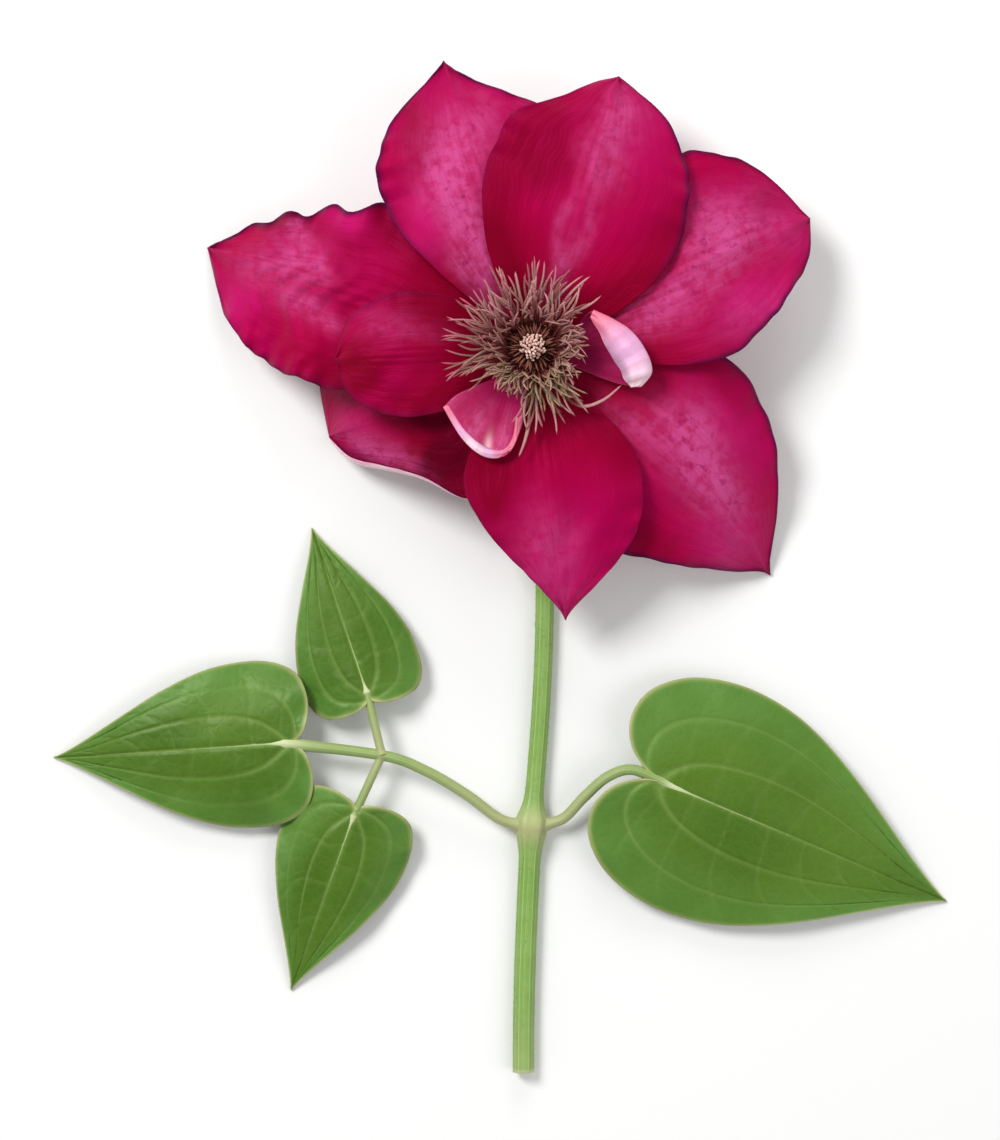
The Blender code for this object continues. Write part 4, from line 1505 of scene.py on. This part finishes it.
@dataclass
class Boss:
    """The stamens in three whorls and the tuft of styles in their middle.

    strays holds the paths of the few broad filaments that lie apart from the whorls.
    """

    centre: Array
    palette: Palette
    stamens: int = 345
    stamen_points: int = 17
    seed: int = 23
    root_radius: float = 4.1
    root_height: float = 17.8
    full_reach: float = 18.2
    short_reach: float = 10.6
    petaloid_arcs: tuple[tuple[float, float], ...] = ((46.0, 138.0), (188.0, 242.0))
    ring_radii: tuple[float, float] = (4.0, 0.95)
    ring_height: float = 17.75
    styles: int = 100
    style_points: int = 12
    pale_styles: int = 52
    style_base: float = 19.5
    style_reach: float = 3.5
    golden_angle: float = 137.5
    strays: tuple[Points, ...] = (
        ((2.6, -3.4, 17.8), (6, -9, 21.6), (9.4, -11.2, 22.6), (13.4, -10, 23), (16.8, -7.2, 23.2)),
        (
            (-0.3, -4.2, 17.8), (-0.5, -9.5, 21.4), (-0.6, -13.8, 22.4), (-1.4, -17.6, 22.2),
            (-2.6, -20.8, 21.8),
        ),
        ((0.4, -4.2, 17.8), (0.6, -8.5, 22), (0.8, -12, 23), (1.9, -15.2, 22.8)),
    )

    def limit(self, azimuth: float) -> float:
        """Return how far out a stamen may reach at an azimuth, which is less beside a petaloid."""
        beside = any(low < azimuth % 360.0 < high for low, high in self.petaloid_arcs)
        return self.short_reach if beside else self.full_reach

    def filament(self, path: Array, radii: Array) -> Tube:
        """Return a filament and its head: a flattened tube with a rib on each side."""
        return Tube("stamen", path + self.centre, radii, 6, ribs=2, rib_depth=0.18, flatten=0.75)

    def stamen(self, draw: random.Random, azimuth: float, whorl: Whorl) -> tuple[Tube, StamenLook]:
        """Return one stamen, from its root in the ring to the tip of its head, and its look.

        Args:
            draw: The seeded draws, in their order.
            azimuth: Where it stands on the ring.
            whorl: The whorl that it belongs to.

        Returns:
            Its tube and its look.
        """
        reach, height = whorl.value
        reach += draw.uniform(-1.9, 1.9) + 1.6 * bump_line(azimuth - 268.0, 38.0)
        height += draw.uniform(-1.1, 1.1)
        limit = self.limit(azimuth)
        if reach > limit:
            reach = limit - draw.uniform(0.0, 2.4)
            height += 1.6
        along, across = heading(azimuth)
        root = along * (self.root_radius + draw.uniform(-0.5, 0.6)) + UP * self.root_height
        knee = along * (self.root_radius + 0.3 + 0.34 * (reach - self.root_radius)) + UP * (height - 0.4)
        knee = knee + across * draw.uniform(-2.0, 2.0)
        tip = along * reach + across * draw.uniform(-3.6, 3.6) + UP * height
        if whorl is Whorl.INNER:
            tip = tip - along * 0.7 + UP * 0.7
        share = np.linspace(0.0, 1.0, self.stamen_points)
        way = share[:, None]
        path = root * (1.0 - way) ** 2 + knee * 2.0 * way * (1.0 - way) + tip * way**2
        bend = draw.uniform(-0.9, 0.9)
        path = path + across * (bend * np.sin(TURN * way) * way) + UP * (0.35 * bend * way**3)
        head = smooth_step(share, 0.40, 0.55) * (1.0 - 0.9 * smooth_step(share, 0.62, 1.0))
        tube = self.filament(path, 0.13 + draw.uniform(0.04, 0.12) * head)
        return tube, self.look(draw, azimuth, whorl)

    def look(self, draw: random.Random, azimuth: float, whorl: Whorl) -> StamenLook:
        """Return how a stamen is coloured: more olive towards -Y, with pinker tips opposite.

        Args:
            draw: The seeded draws, in their order.
            azimuth: Where the stamen stands on the ring.
            whorl: Its whorl.

        Returns:
            Its look.
        """
        low_side = 0.5 - 0.5 * math.cos(math.radians(azimuth))
        far_side = 0.5 + 0.5 * math.cos(math.radians(azimuth + 40.0))
        if whorl is Whorl.OUTER:
            olive = 0.15 * draw.random()
            blush = draw.random() * (0.25 + 0.75 * far_side)
        else:
            olive = max(0.0, low_side - 0.35) * draw.uniform(0.5, 1.5)
            blush = 0.3 * draw.random() * far_side
        tone = draw.random() * (1.0 - 0.45 * bump_line(azimuth - 262.0, 32.0))
        return StamenLook(tone, min(1.0, olive), blush)

    def stray(self, points: Points) -> tuple[Tube, StamenLook]:
        """Return one broad stray filament that lies along its own path among the stamens.

        Args:
            points: Points of its path.

        Returns:
            Its tube and its look.
        """
        share = np.linspace(0.0, 1.0, self.stamen_points)
        radii = 0.29 * (1.0 - 0.5 * smooth_step(share, 0.6, 1.0))
        return self.filament(curve_through(points, share), radii), StamenLook(0.85, 0.0, 0.35)

    def style(self, draw: random.Random, index: int) -> tuple[Tube, StamenLook]:
        """Return one style of the tuft: pale ones make its knob and dark shorter ones its ring.

        Args:
            draw: The seeded draws, in their order.
            index: Its number, from the middle of the tuft outwards.

        Returns:
            Its tube and its look.
        """
        pale = index < self.pale_styles
        along, across = heading(self.golden_angle * index + draw.uniform(-9.0, 9.0))
        start = self.style_reach * math.sqrt((index + 0.4) / self.styles)
        top = self.style_base + (6.7 - 0.35 * start**2 if pale else 4.4 - 0.5 * start)
        top += draw.uniform(-0.3, 0.3)
        lean = start * (1.0 if pale else 1.45) + draw.uniform(0.0, 0.3)
        points = [
            along * 0.7 * start + UP * (self.style_base - 0.6),
            along * start * 0.86 + UP * (top - 3.0),
            along * (start * 0.92 + 0.05) + UP * (top - 0.7),
            along * lean + across * draw.uniform(-0.6, 0.6) + UP * top,
        ]
        share = np.linspace(0.0, 1.0, self.style_points)
        radii = (0.30 if pale else 0.20) * (1.0 - 0.75 * smooth_step(share, 0.70, 1.0))
        look = StamenLook(draw.uniform(0.75, 1.0)) if pale else StamenLook()
        return Tube("style", curve_through(points, share) + self.centre, radii, 7), look

    def cluster(self, name: str, tubes: Sequence[tuple[Tube, StamenLook]], material: Material) -> Piece:
        """Make a set of like tubes from copies of one grid and join them.

        Args:
            name: Name of the joined piece.
            tubes: The tubes, all with as many path points and sides, and their looks.
            material: The material of them all.

        Returns:
            The joined piece.
        """
        first, _ = tubes[0]
        pattern = add_grid(name, len(first.path) - 1, first.sides)
        pattern.data.materials.append(material)
        copies = []
        for tube, look in tubes:
            copies.append(tube.shaped(own_copy(pattern)))
            for mark, value in vars(look).items():
                paint(copies[-1].data, mark, value)
        bpy.data.objects.remove(pattern)
        joined = join_pieces(name, copies)
        merge_points(joined, 1e-6)
        recalculate_normals(joined)
        return joined

    def ring(self, material: Material) -> Piece:
        """Return the low ring that the stamens stand on.

        Args:
            material: Its material.

        Returns:
            The ring, with its place in its mesh.
        """
        major, minor = (radius * MM for radius in self.ring_radii)
        ring = add(
            bpy.ops.mesh.primitive_torus_add,
            "ring",
            major_radius=major,
            minor_radius=minor,
            major_segments=64,
            minor_segments=12,
            location=tuple((self.centre + UP * self.ring_height) * MM),
        )
        bpy.ops.object.transform_apply(location=True, rotation=True, scale=True)
        ring.data.materials.append(material)
        bpy.ops.object.shade_smooth()
        return ring

    def build(self) -> None:
        """Make the stamens with the ring they stand on, and the styles."""
        finish = StamenFinish("stamen").material(self.palette)
        draw = random.Random(self.seed)
        whorls = (Whorl.OUTER, Whorl.INNER, Whorl.MIDDLE)
        tubes = []
        for index in range(self.stamens):
            azimuth = 360.0 * index / self.stamens + draw.uniform(-3.5, 3.5)
            tubes.append(self.stamen(draw, azimuth, whorls[index % 3]))
        tubes += [self.stray(points) for points in self.strays]
        heads = self.cluster("stamens_heads", tubes, finish)
        seat(join_pieces("stamens_boss", [heads, self.ring(finish)]), "stamens")
        finish = StamenFinish(
            "style",
            root=(0.20, 0.050, 0.038),
            shaft=(0.24, 0.075, 0.052),
            head=(0.27, 0.090, 0.062),
            pale=(0.82, 0.56, 0.48),
        )
        tubes = [self.style(draw, index) for index in range(self.styles)]
        seat(self.cluster("styles_tuft", tubes, finish.material(self.palette)), "styles")


# Stalk


@dataclass
class Stalk:
    """The receptacle, the bent flower stalk, the node and the cut stem below it.

    core holds the heights and radii of the receptacle's profile, from the top down, and cut_shares
    the radii of the cut face, as shares of the stem's. Points that would coincide stand apart.
    """

    centre: Array
    palette: Palette
    core: Points = (
        (19.2, 0.0), (19.2, 1.9), (18.7, 2.7), (16.6, 2.75), (16.3, 4.75), (16.0, 4.9), (14.2, 4.9),
        (12.4, 4.9), (12.0, 4.5), (11.2, 3.0), (10.1, 2.0),
    )
    cut_shares: tuple[float, ...] = (0.96, 0.9, 0.55, 0.0)
    apart: float = 1e-3
    stalk_radius: float = 1.7
    stem_radius: float = 2.0
    node_radius: float = 3.1
    node_height: float = 2.55
    collar: float = 0.22
    node_y: float = -NODE_TO_BLOOM
    cut_y: float = -CUT_TO_BLOOM
    bend: float = 7.0
    height: float = 2.05
    bend_points: int = 14
    run_points: int = 150
    hairs: int = 1500
    hair_radius: float = 0.045
    seed: int = 41

    def side(self, y: Array) -> Array:
        """Return how far the stalk's gentle curve stands off the middle."""
        return 2.6 * np.sin(math.pi * y / self.node_y) * np.where(y > self.node_y, 1.0, 0.6)

    def outline(self) -> tuple[Array, Array]:
        """Return the path of the stalk and its radius at each point, from the core to the cut.

        Returns:
            The path's points and the radii.
        """
        path = [(0.0, 0.0, height) for height, _ in self.core]
        radii = [radius for _, radius in self.core]
        for angle in np.linspace(0.0, 0.5 * math.pi, self.bend_points):
            back, rise = self.bend * (1.0 - math.cos(angle)), self.bend * (1.0 - math.sin(angle))
            path.append((0.0, -back, self.height + rise))
            radii.append(self.stalk_radius)
        run = np.linspace(-self.bend, self.cut_y, self.run_points)[1:]
        beyond = run - self.node_y
        near = bump_line(beyond, 3.6)
        past = smooth_step(-run, -self.node_y - 6.0, -self.node_y + 6.0)
        plain = self.stalk_radius + (self.stem_radius - self.stalk_radius) * past
        path += list(zip(self.side(run), run, self.height + (self.node_height - self.height) * near))
        collar = bump_line(beyond - 0.9, 0.8) - 0.6 * bump_line(beyond + 1.2, 0.9)
        radii += list(plain + (self.node_radius - plain) * near + self.collar * collar)
        for share in self.cut_shares:
            path.append((path[-1][0], self.cut_y, self.height))
            radii.append(self.stem_radius * share)
        places = np.array(path)
        places[:, 2] -= self.apart * np.arange(len(places)) * (places[:, 1] > -0.01)
        places[-len(self.cut_shares):, 1] -= self.apart * np.arange(len(self.cut_shares))
        return places, np.array(radii)

    def build(self) -> None:
        """Make the stalk with its ribs, its down and its cut face."""
        path, radii = self.outline()
        finish = StemFinish("stalk", (0.15, 0.29, 0.045), (0.31, 0.46, 0.13), (0.42, 0.42, 0.20))
        tube = Tube("flower_stalk_ribbed", path + self.centre, radii, 48, ribs=6, rib_depth=0.05)
        piece = tube.build(finish.material(self.palette))
        places = point_places(piece.data)
        places[:, 2] = np.maximum(places[:, 2], 0.0)
        set_places(piece.data, places / MM)
        self.mark(piece)
        hairs = self.down(path, radii, piece.data.materials[0])
        seat(join_pieces("flower_stalk_ribbed", [piece, hairs]), "flower_stalk")

    def mark(self, piece: Piece) -> None:
        """Paint the brownish flush round the node, the pale pith of the cut and the dark core.

        Args:
            piece: The ribbed stalk.
        """
        x, y, z = (point_places(piece.data) / MM - self.centre).T
        beyond = y - self.node_y
        core = smooth_step(z, 16.4, 17.2) * (np.hypot(x, y) < 6.0)
        paint(piece.data, "flush", 0.8 * bump_line(beyond, 3.6) + 0.25 * smooth_step(-y, 120.0, 140.0))
        paint(piece.data, "pith", smooth_step(self.cut_y + 0.05 - y, 0.0, 0.02))
        paint(piece.data, "dark", core + 0.16 * bump_line(beyond + 1.1, 0.55))

    def down(self, path: Array, radii: Array, material: Material) -> Piece:
        """Return the short down on the stalk, as one object of tiny cones.

        Args:
            path: The stalk's path.
            radii: Its radius at each point.
            material: Its material.

        Returns:
            The hairs, which carry the stalk's material and none of its marks.
        """
        draw = random.Random(self.seed)
        size = {"vertices": 3, "radius1": self.hair_radius * MM, "radius2": 0.0, "depth": MM}
        cone = add(bpy.ops.mesh.primitive_cone_add, "down", **size)
        shape = point_places(cone.data) / MM
        shape[:, 2] += 0.5
        across, up = Tube("down", path, radii, 8).frames()
        tangents = np.cross(across, up)
        copies = []
        for _ in range(self.hairs):
            index = draw.randrange(20, len(path) - 8)
            angle = draw.uniform(-0.2 * math.pi, 1.2 * math.pi)
            out = across[index] * math.cos(angle) + up[index] * math.sin(angle)
            if out[2] < -0.3:
                continue
            tangent = tangents[index]
            start = path[index] + tangent * draw.uniform(-0.5, 0.5) + out * (radii[index] * 0.95)
            lean = out + tangent * draw.uniform(-0.4, 0.4) + 0.1 * UP
            lean = lean / np.linalg.norm(lean)
            side = np.cross(lean, tangent)
            side = side / np.linalg.norm(side)
            length = draw.uniform(0.35, 0.75)
            copies.append(own_copy(cone))
            places = start + shape @ np.array([side, np.cross(lean, side), lean * length])
            set_places(copies[-1].data, places + self.centre)
        bpy.data.objects.remove(cone)
        hairs = join_pieces("down", copies)
        hairs.data.materials.append(material)
        for name in ("flush", "pith", "dark"):
            paint(hairs.data, name, 0.0)
        return hairs


# Leaves


@dataclass(frozen=True)
class LeafletShape:
    """One leaf blade: its place, its outline and arch as in the frame's solids, and its veins.

    arched_veins holds how far across the blade each pair of arched veins lies, and its width.
    """

    base: tuple[float, float]
    azimuth: float
    length: float
    width: float
    lobe: float
    lift: float
    tip_height: float = 0.4
    side_drop: float = 0.55
    ruffle: float = 0.7
    phase: float = 0.0
    lowest: float = 0.25
    arched_veins: tuple[tuple[float, float], ...] = ((0.36, 0.30), (0.70, 0.24))
    vein_step: float = 7.5
    vein_depth: float = 0.34
    side_vein_depth: float = 0.15
    unevenness: float = 0.16

    MARKS = ("vein", "edge", "outer")

    def margin(self, share: Array) -> tuple[Array, Array]:
        """Return across and along of the margin, from the notch at the base (0) to the tip (1).

        Args:
            share: Shares of the way from the notch to the tip.

        Returns:
            Offsets across the blade and distances along it.
        """
        lobe = self.lobe
        first = ((0.0, 0.0), (0.03, -lobe), (0.22, -1.45 * lobe), (0.36, -0.85 * lobe))
        second = (first[3], (0.47, -0.38 * lobe), (0.52, 0.08), (0.50, 0.22))
        third = (second[3], (0.475, 0.49), (0.12, 0.78), (0.0, 1.0))
        low = bezier(first, np.clip(share / 0.22, 0.0, 1.0))
        middle = bezier(second, np.clip((share - 0.22) / 0.23, 0.0, 1.0))
        high = bezier(third, np.clip((share - 0.45) / 0.55, 0.0, 1.0))
        across, along = np.where(share < 0.22, low, np.where(share < 0.45, middle, high))
        return across * self.width, along * self.length

    def flat(self, u: Array, v: Array) -> tuple[Array, Array]:
        """Return across and along of points (u, v) in the blade's own plane."""
        margin_x, margin_y = self.margin(u)
        return v * margin_x, (1.0 - np.abs(v)) * self.length * u + np.abs(v) * margin_y

    def main_veins(self, u: Array, v: Array) -> Array:
        """Return where the midrib and the two pairs of arched veins lie, 0 to 1.

        Args:
            u: Shares along the blade.
            v: Shares across the blade.

        Returns:
            One number for each point.
        """
        half, _ = self.margin(u)
        half = np.maximum(half, 0.5)
        total = bump_line(v * half, 0.46 * (1.0 - 0.65 * u))
        fade = 1.0 - smooth_step(u, 0.72, 0.97)
        for place, width in self.arched_veins:
            total += fade * 0.85 * bump_line((np.abs(v) - place) * half, width * (1.05 - 0.6 * u))
        return np.clip(total * smooth_step(u, 0.0, 0.03), 0.0, 1.0)

    def side_veins(self, u: Array, v: Array) -> Array:
        """Return where the thinner veins between the main ones lie, 0 to 1.

        Args:
            u: Shares along the blade.
            v: Shares across the blade.

        Returns:
            One number for each point.
        """
        share = np.abs(v)
        count = self.length / self.vein_step
        turn = count * (u - 0.30 * share) + 0.06 * np.sin(11.0 * u + 5.0 * v) + np.where(v > 0.0, 0.5, 0.0)
        distance = np.abs(turn - np.floor(turn) - 0.5) * self.length / count
        fade = smooth_step(u, 0.06, 0.16) * (1.0 - smooth_step(u, 0.80, 0.98))
        fade *= 1.0 - smooth_step(share, 0.82, 0.98)
        return fade * bump_line(distance, 0.24)

    def place(self, u: Array, v: Array) -> Array:
        """Return the places of points (u, v), in millimetres from the bloom's axis.

        Args:
            u: Shares along the blade.
            v: Shares across the blade.

        Returns:
            One row of coordinates for each point.
        """
        along, across = heading(self.azimuth)
        x, y = self.flat(u, v)
        run = np.maximum(0.0, y / self.length)
        side = (2.0 * x / self.width) ** 2
        arch = (self.lift - self.tip_height) * (1.0 - run**1.8) * (1.0 - self.side_drop * side)
        wave = np.sin(TURN * (2.6 * u + self.phase) + np.where(v > 0.0, 1.7, 0.0))
        fine = 0.28 * np.abs(v) ** 4 * np.sin(TURN * (7.3 * u + self.phase + 0.3 * np.sin(4.0 * u)))
        spot = along * y[:, None] + across * x[:, None]
        spot[:, 0] += self.base[0]
        spot[:, 1] += self.base[1]
        height = self.tip_height + arch + self.ruffle * side * wave * (1.0 - run) + fine * (1.0 - run)
        height -= self.vein_depth * self.main_veins(u, v) + self.side_vein_depth * self.side_veins(u, v)
        uneven = self.unevenness * ripple(u, v, int(self.azimuth) + 7)
        height += uneven * (1.0 - run) * smooth_step(u, 0.02, 0.2)
        spot[:, 2] = np.maximum(height, self.lowest)
        return spot

    def vein(self, u: Array, v: Array) -> Array:
        """Return how strongly the veins show in colour, 0 to 1."""
        return np.clip(0.62 * self.main_veins(u, v) + 0.18 * self.side_veins(u, v), 0.0, 1.0)

    def outer(self, u: Array, v: Array) -> Array:
        """Return the painted sheen, which makes the green lighter and bluish, more so towards the margin, 0
        to 1.
        """
        return 0.85 * smooth_step(np.abs(v), 0.30, 0.95) + 0.15 * smooth_step(u, 0.5, 1.0)

    def edge(self, u: Array, v: Array) -> Array:
        """Return the thin pale line along the margin, 0 to 1."""
        half, _ = self.margin(u)
        return 0.85 * bump_line((1.0 - np.abs(v)) * np.maximum(half, 1.0), 0.34)


SIMPLE_BLADE = LeafletShape((25, -83), 113, 61, 46, 0.15, 7.5, phase=0.2)
TERNATE_BLADES = (
    LeafletShape((-46.5, -75.5), 266, 47, 32, 0.07, 7, phase=0.5),
    LeafletShape((-31.5, -67), 341, 35, 23.5, 0.05, 6.5, phase=0.9),
    LeafletShape((-34, -88.5), 200, 38, 25.5, 0.05, 6.5, phase=0.3),
)
SIMPLE_PETIOLE = (
    (1.9, -91.8, 2.7), (6.2, -90.4, 3.6), (10.2, -86.2, 4.9), (14.7, -82.2, 6.1), (19.8, -80.8, 6.9),
)
TERNATE_PETIOLE = ((-1.9, -91.8, 2.7), (-6.4, -90.4, 3.6), (-12.8, -85.6, 4.9), (-20.6, -81.0, 6.0))
TERNATE_FORK = (-29.0, -78.0, 6.4)

LEAF_FINISHES = (
    LeafFinish(
        "leaf_upper",
        blade=(0.040, 0.105, 0.003),
        patch=(0.068, 0.150, 0.008),
        outer=(0.085, 0.205, 0.034),
        vein=(0.17, 0.27, 0.060),
        margin=(0.40, 0.40, 0.17),
        roughness=0.48,
        net_depth=0.00004,
    ),
    LeafFinish(
        "leaf_under",
        blade=(0.13, 0.235, 0.075),
        patch=(0.16, 0.27, 0.09),
        outer=(0.17, 0.27, 0.10),
        vein=(0.26, 0.36, 0.15),
        margin=(0.34, 0.38, 0.17),
        roughness=0.60,
        net_depth=0.00022,
    ),
    LeafFinish(
        "leaf_rim",
        blade=(0.30, 0.34, 0.13),
        patch=(0.34, 0.37, 0.15),
        outer=(0.34, 0.37, 0.15),
        vein=(0.36, 0.38, 0.16),
        margin=(0.40, 0.40, 0.17),
        roughness=0.50,
        net_depth=0.00005,
    ),
)


@dataclass
class Foliage:
    """The two leaves at the node: a simple one and one of three leaflets."""

    centre: Array
    palette: Palette
    petiole: float = 1.0
    petiolule: float = 0.8
    midrib_start: float = 0.04
    midrib_share: float = 0.62
    thickness: float = 0.42
    knot: float = 0.24
    row_step: float = 0.45
    way_points: int = 60
    rib_points: int = 30

    def blade(self, shape: LeafletShape, surfaces: dict[Side, Material]) -> Piece:
        """Return one leaf blade, with its rows a step apart and its columns as close at its widest.

        Args:
            shape: The blade's shape.
            surfaces: The material of each surface.

        Returns:
            The finished blade, with its place in its mesh.
        """
        rows = int(shape.length / self.row_step)
        columns = 2 * int(shape.width / (2.0 * self.row_step))
        return Blade("blade", shape, rows, columns, self.thickness, self.centre).build(surfaces)

    def leafstalk(self, shape: LeafletShape, path: Points, radius: float, material: Material) -> Piece:
        """Return a leafstalk that runs on under a blade as its midrib.

        Args:
            shape: The blade that it carries.
            path: The leafstalk's own points, up to the blade.
            radius: Its radius in millimetres.
            material: Its material.

        Returns:
            The leafstalk.
        """
        run = np.linspace(0.0, 1.0, self.rib_points)
        u = self.midrib_start + (self.midrib_share - self.midrib_start) * run
        rib = shape.place(u, np.zeros_like(u))
        slim = radius * (0.95 - 0.62 * run)
        rib[:, 2] += 0.33 - slim - 0.2 * run
        way = np.linspace(0.0, 1.0, self.way_points)[:-1]
        places = np.concatenate([curve_through([*path, tuple(rib[0])], way), rib])
        flared = radius * (1.0 + 0.75 * bump_line(way, 0.07) + self.knot * bump_line(way - 1.0, 0.07))
        radii = np.concatenate([flared, slim * (1.0 + self.knot * bump_line(run, 0.06))])
        piece = Tube("leafstalk", places + self.centre, radii, 20, ribs=4, rib_depth=0.04).build(material)
        along = np.empty(len(piece.data.vertices))
        piece.data.attributes["along"].data.foreach_get("value", along)
        joint = len(way) / (len(places) - 1)
        paint(piece.data, "pith", 0.75 * bump_line(along - joint, 0.035))
        paint(piece.data, "dark", 0.0)
        paint(piece.data, "flush", 0.8 * (1.0 - smooth_step(along, 0.05, 0.55)))
        return piece

    def build(self) -> None:
        """Make both leaves in the places of their nodes."""
        surfaces = self.palette.surfaces(LEAF_FINISHES)
        stem = StemFinish("leafstalk", (0.20, 0.30, 0.080), (0.36, 0.43, 0.17), (0.37, 0.38, 0.18))
        material = stem.material(self.palette)
        simple = [
            self.blade(SIMPLE_BLADE, surfaces),
            self.leafstalk(SIMPLE_BLADE, SIMPLE_PETIOLE, self.petiole, material),
        ]
        seat(join_pieces("leaf_simple_veined", simple), "leaf_simple")
        ternate = [self.blade(shape, surfaces) for shape in TERNATE_BLADES]
        path = [*TERNATE_PETIOLE, TERNATE_FORK]
        ternate.append(self.leafstalk(TERNATE_BLADES[0], path, self.petiole, material))
        for shape in TERNATE_BLADES[1:]:
            ternate.append(self.leafstalk(shape, [TERNATE_FORK], self.petiolule, material))
        seat(join_pieces("leaf_ternate_veined", ternate), "leaf_ternate")


# Studio


@dataclass(frozen=True)
class SoftLight:
    """One soft area light, aimed at the middle of the part."""

    name: str
    place: tuple[float, float, float]
    size: float
    power: float
    colour: Colour = (1.0, 1.0, 1.0)

    def build(self, target: Vector) -> None:
        """Add the light to the scene.

        Args:
            target: The point that it is aimed at.
        """
        lamp = add(bpy.ops.object.light_add, self.name, type="AREA", location=self.place)
        lamp.data.shape = "DISK"
        lamp.data.size = self.size
        lamp.data.energy = self.power
        lamp.data.color = self.colour
        direction = target - Vector(self.place)
        lamp.rotation_euler = direction.to_track_quat("-Z", "Y").to_euler()


@dataclass
class Studio:
    """A pale floor, soft lights and a camera that looks straight down on the part."""

    low: Vector
    high: Vector
    lens: float = 105.0
    sensor: float = 36.0
    margin: float = 1.07
    picture: tuple[int, int] = (1000, 1140)
    floor_size: float = 6.0
    floor_gap: float = 0.00005
    surroundings: float = 0.50
    lamps: tuple[SoftLight, ...] = (
        SoftLight("key_light", (-0.55, 0.50, 0.90), 0.45, 11.0),
        SoftLight("fill_light", (0.75, -0.30, 0.85), 0.80, 3.0),
        SoftLight("rim_light", (0.15, 0.95, 0.50), 0.50, 2.5),
    )

    def floor(self) -> None:
        """Add the pale floor just under the part."""
        place = (0.0, 0.0, -self.floor_gap)
        floor = add(bpy.ops.mesh.primitive_plane_add, "pale_floor", size=self.floor_size, location=place)
        material = bpy.data.materials.new("pale_floor")
        material.use_nodes = True
        recipe = Recipe(material.node_tree)
        cloud = recipe.noise(recipe.object_place(), 3.0, 2.0)
        colour = recipe.layers((0.78, 0.78, 0.775), (cloud, (0.80, 0.80, 0.795)))
        shader = material.node_tree.nodes["Principled BSDF"]
        recipe.fill(shader, {"Base Color": colour, "Roughness": 0.9, "Specular IOR Level": 0.2})
        floor.data.materials.append(material)
        floor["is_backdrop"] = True

    def camera(self) -> None:
        """Add the camera above the part, framing its box with a margin."""
        middle = 0.5 * (self.low + self.high)
        wide = (self.high.x - self.low.x) * self.picture[1] / self.picture[0]
        tall = self.high.y - self.low.y
        distance = self.margin * max(wide, tall) * self.lens / self.sensor + self.high.z
        camera = add(bpy.ops.object.camera_add, "Camera", location=(middle.x, middle.y, distance))
        camera.data.lens = self.lens
        camera.data.sensor_fit = "VERTICAL"
        camera.data.sensor_height = self.sensor
        camera.data.clip_start = 0.01
        camera.rotation_euler = (0.0, 0.0, 0.0)
        bpy.context.scene.camera = camera

    def lights(self) -> None:
        """Add the soft lights and the even light of the surroundings."""
        for lamp in self.lamps:
            lamp.build(0.5 * (self.low + self.high))
        world = bpy.data.worlds.new("studio_surroundings")
        world.use_nodes = True
        background = world.node_tree.nodes["Background"]
        Recipe(world.node_tree).fill(background, {"Color": (1.0, 1.0, 1.0), "Strength": self.surroundings})
        bpy.context.scene.world = world

    def build(self) -> None:
        """Add the floor, the camera and the lights, and set how colours are shown."""
        self.floor()
        self.camera()
        self.lights()
        bpy.context.scene.view_settings.view_transform = "Standard"
        bpy.context.scene.view_settings.look = "None"


def bloom_axis() -> Array:
    """Return where the bloom's axis meets the surface, in millimetres, from the box of the stalk."""
    low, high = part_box("flower_stalk")
    return np.array([0.5 * (low.x + high.x) / MM, low.y / MM + CUT_TO_BLOOM, 0.0])


def main() -> None:
    """Load the frame, dress every piece and set up the studio."""
    logging.basicConfig(level=logging.INFO, format="%(name)s: %(message)s")
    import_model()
    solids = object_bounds()
    centre = bloom_axis()
    palette = Palette()
    Studio(*[Vector(corner) for corner in solids]).build()
    for section in (Corolla, Boss, Stalk, Foliage):
        LOG.info("building the %s", section.__name__.lower())
        section(centre, palette).build()


if __name__ == "__main__":
    main()
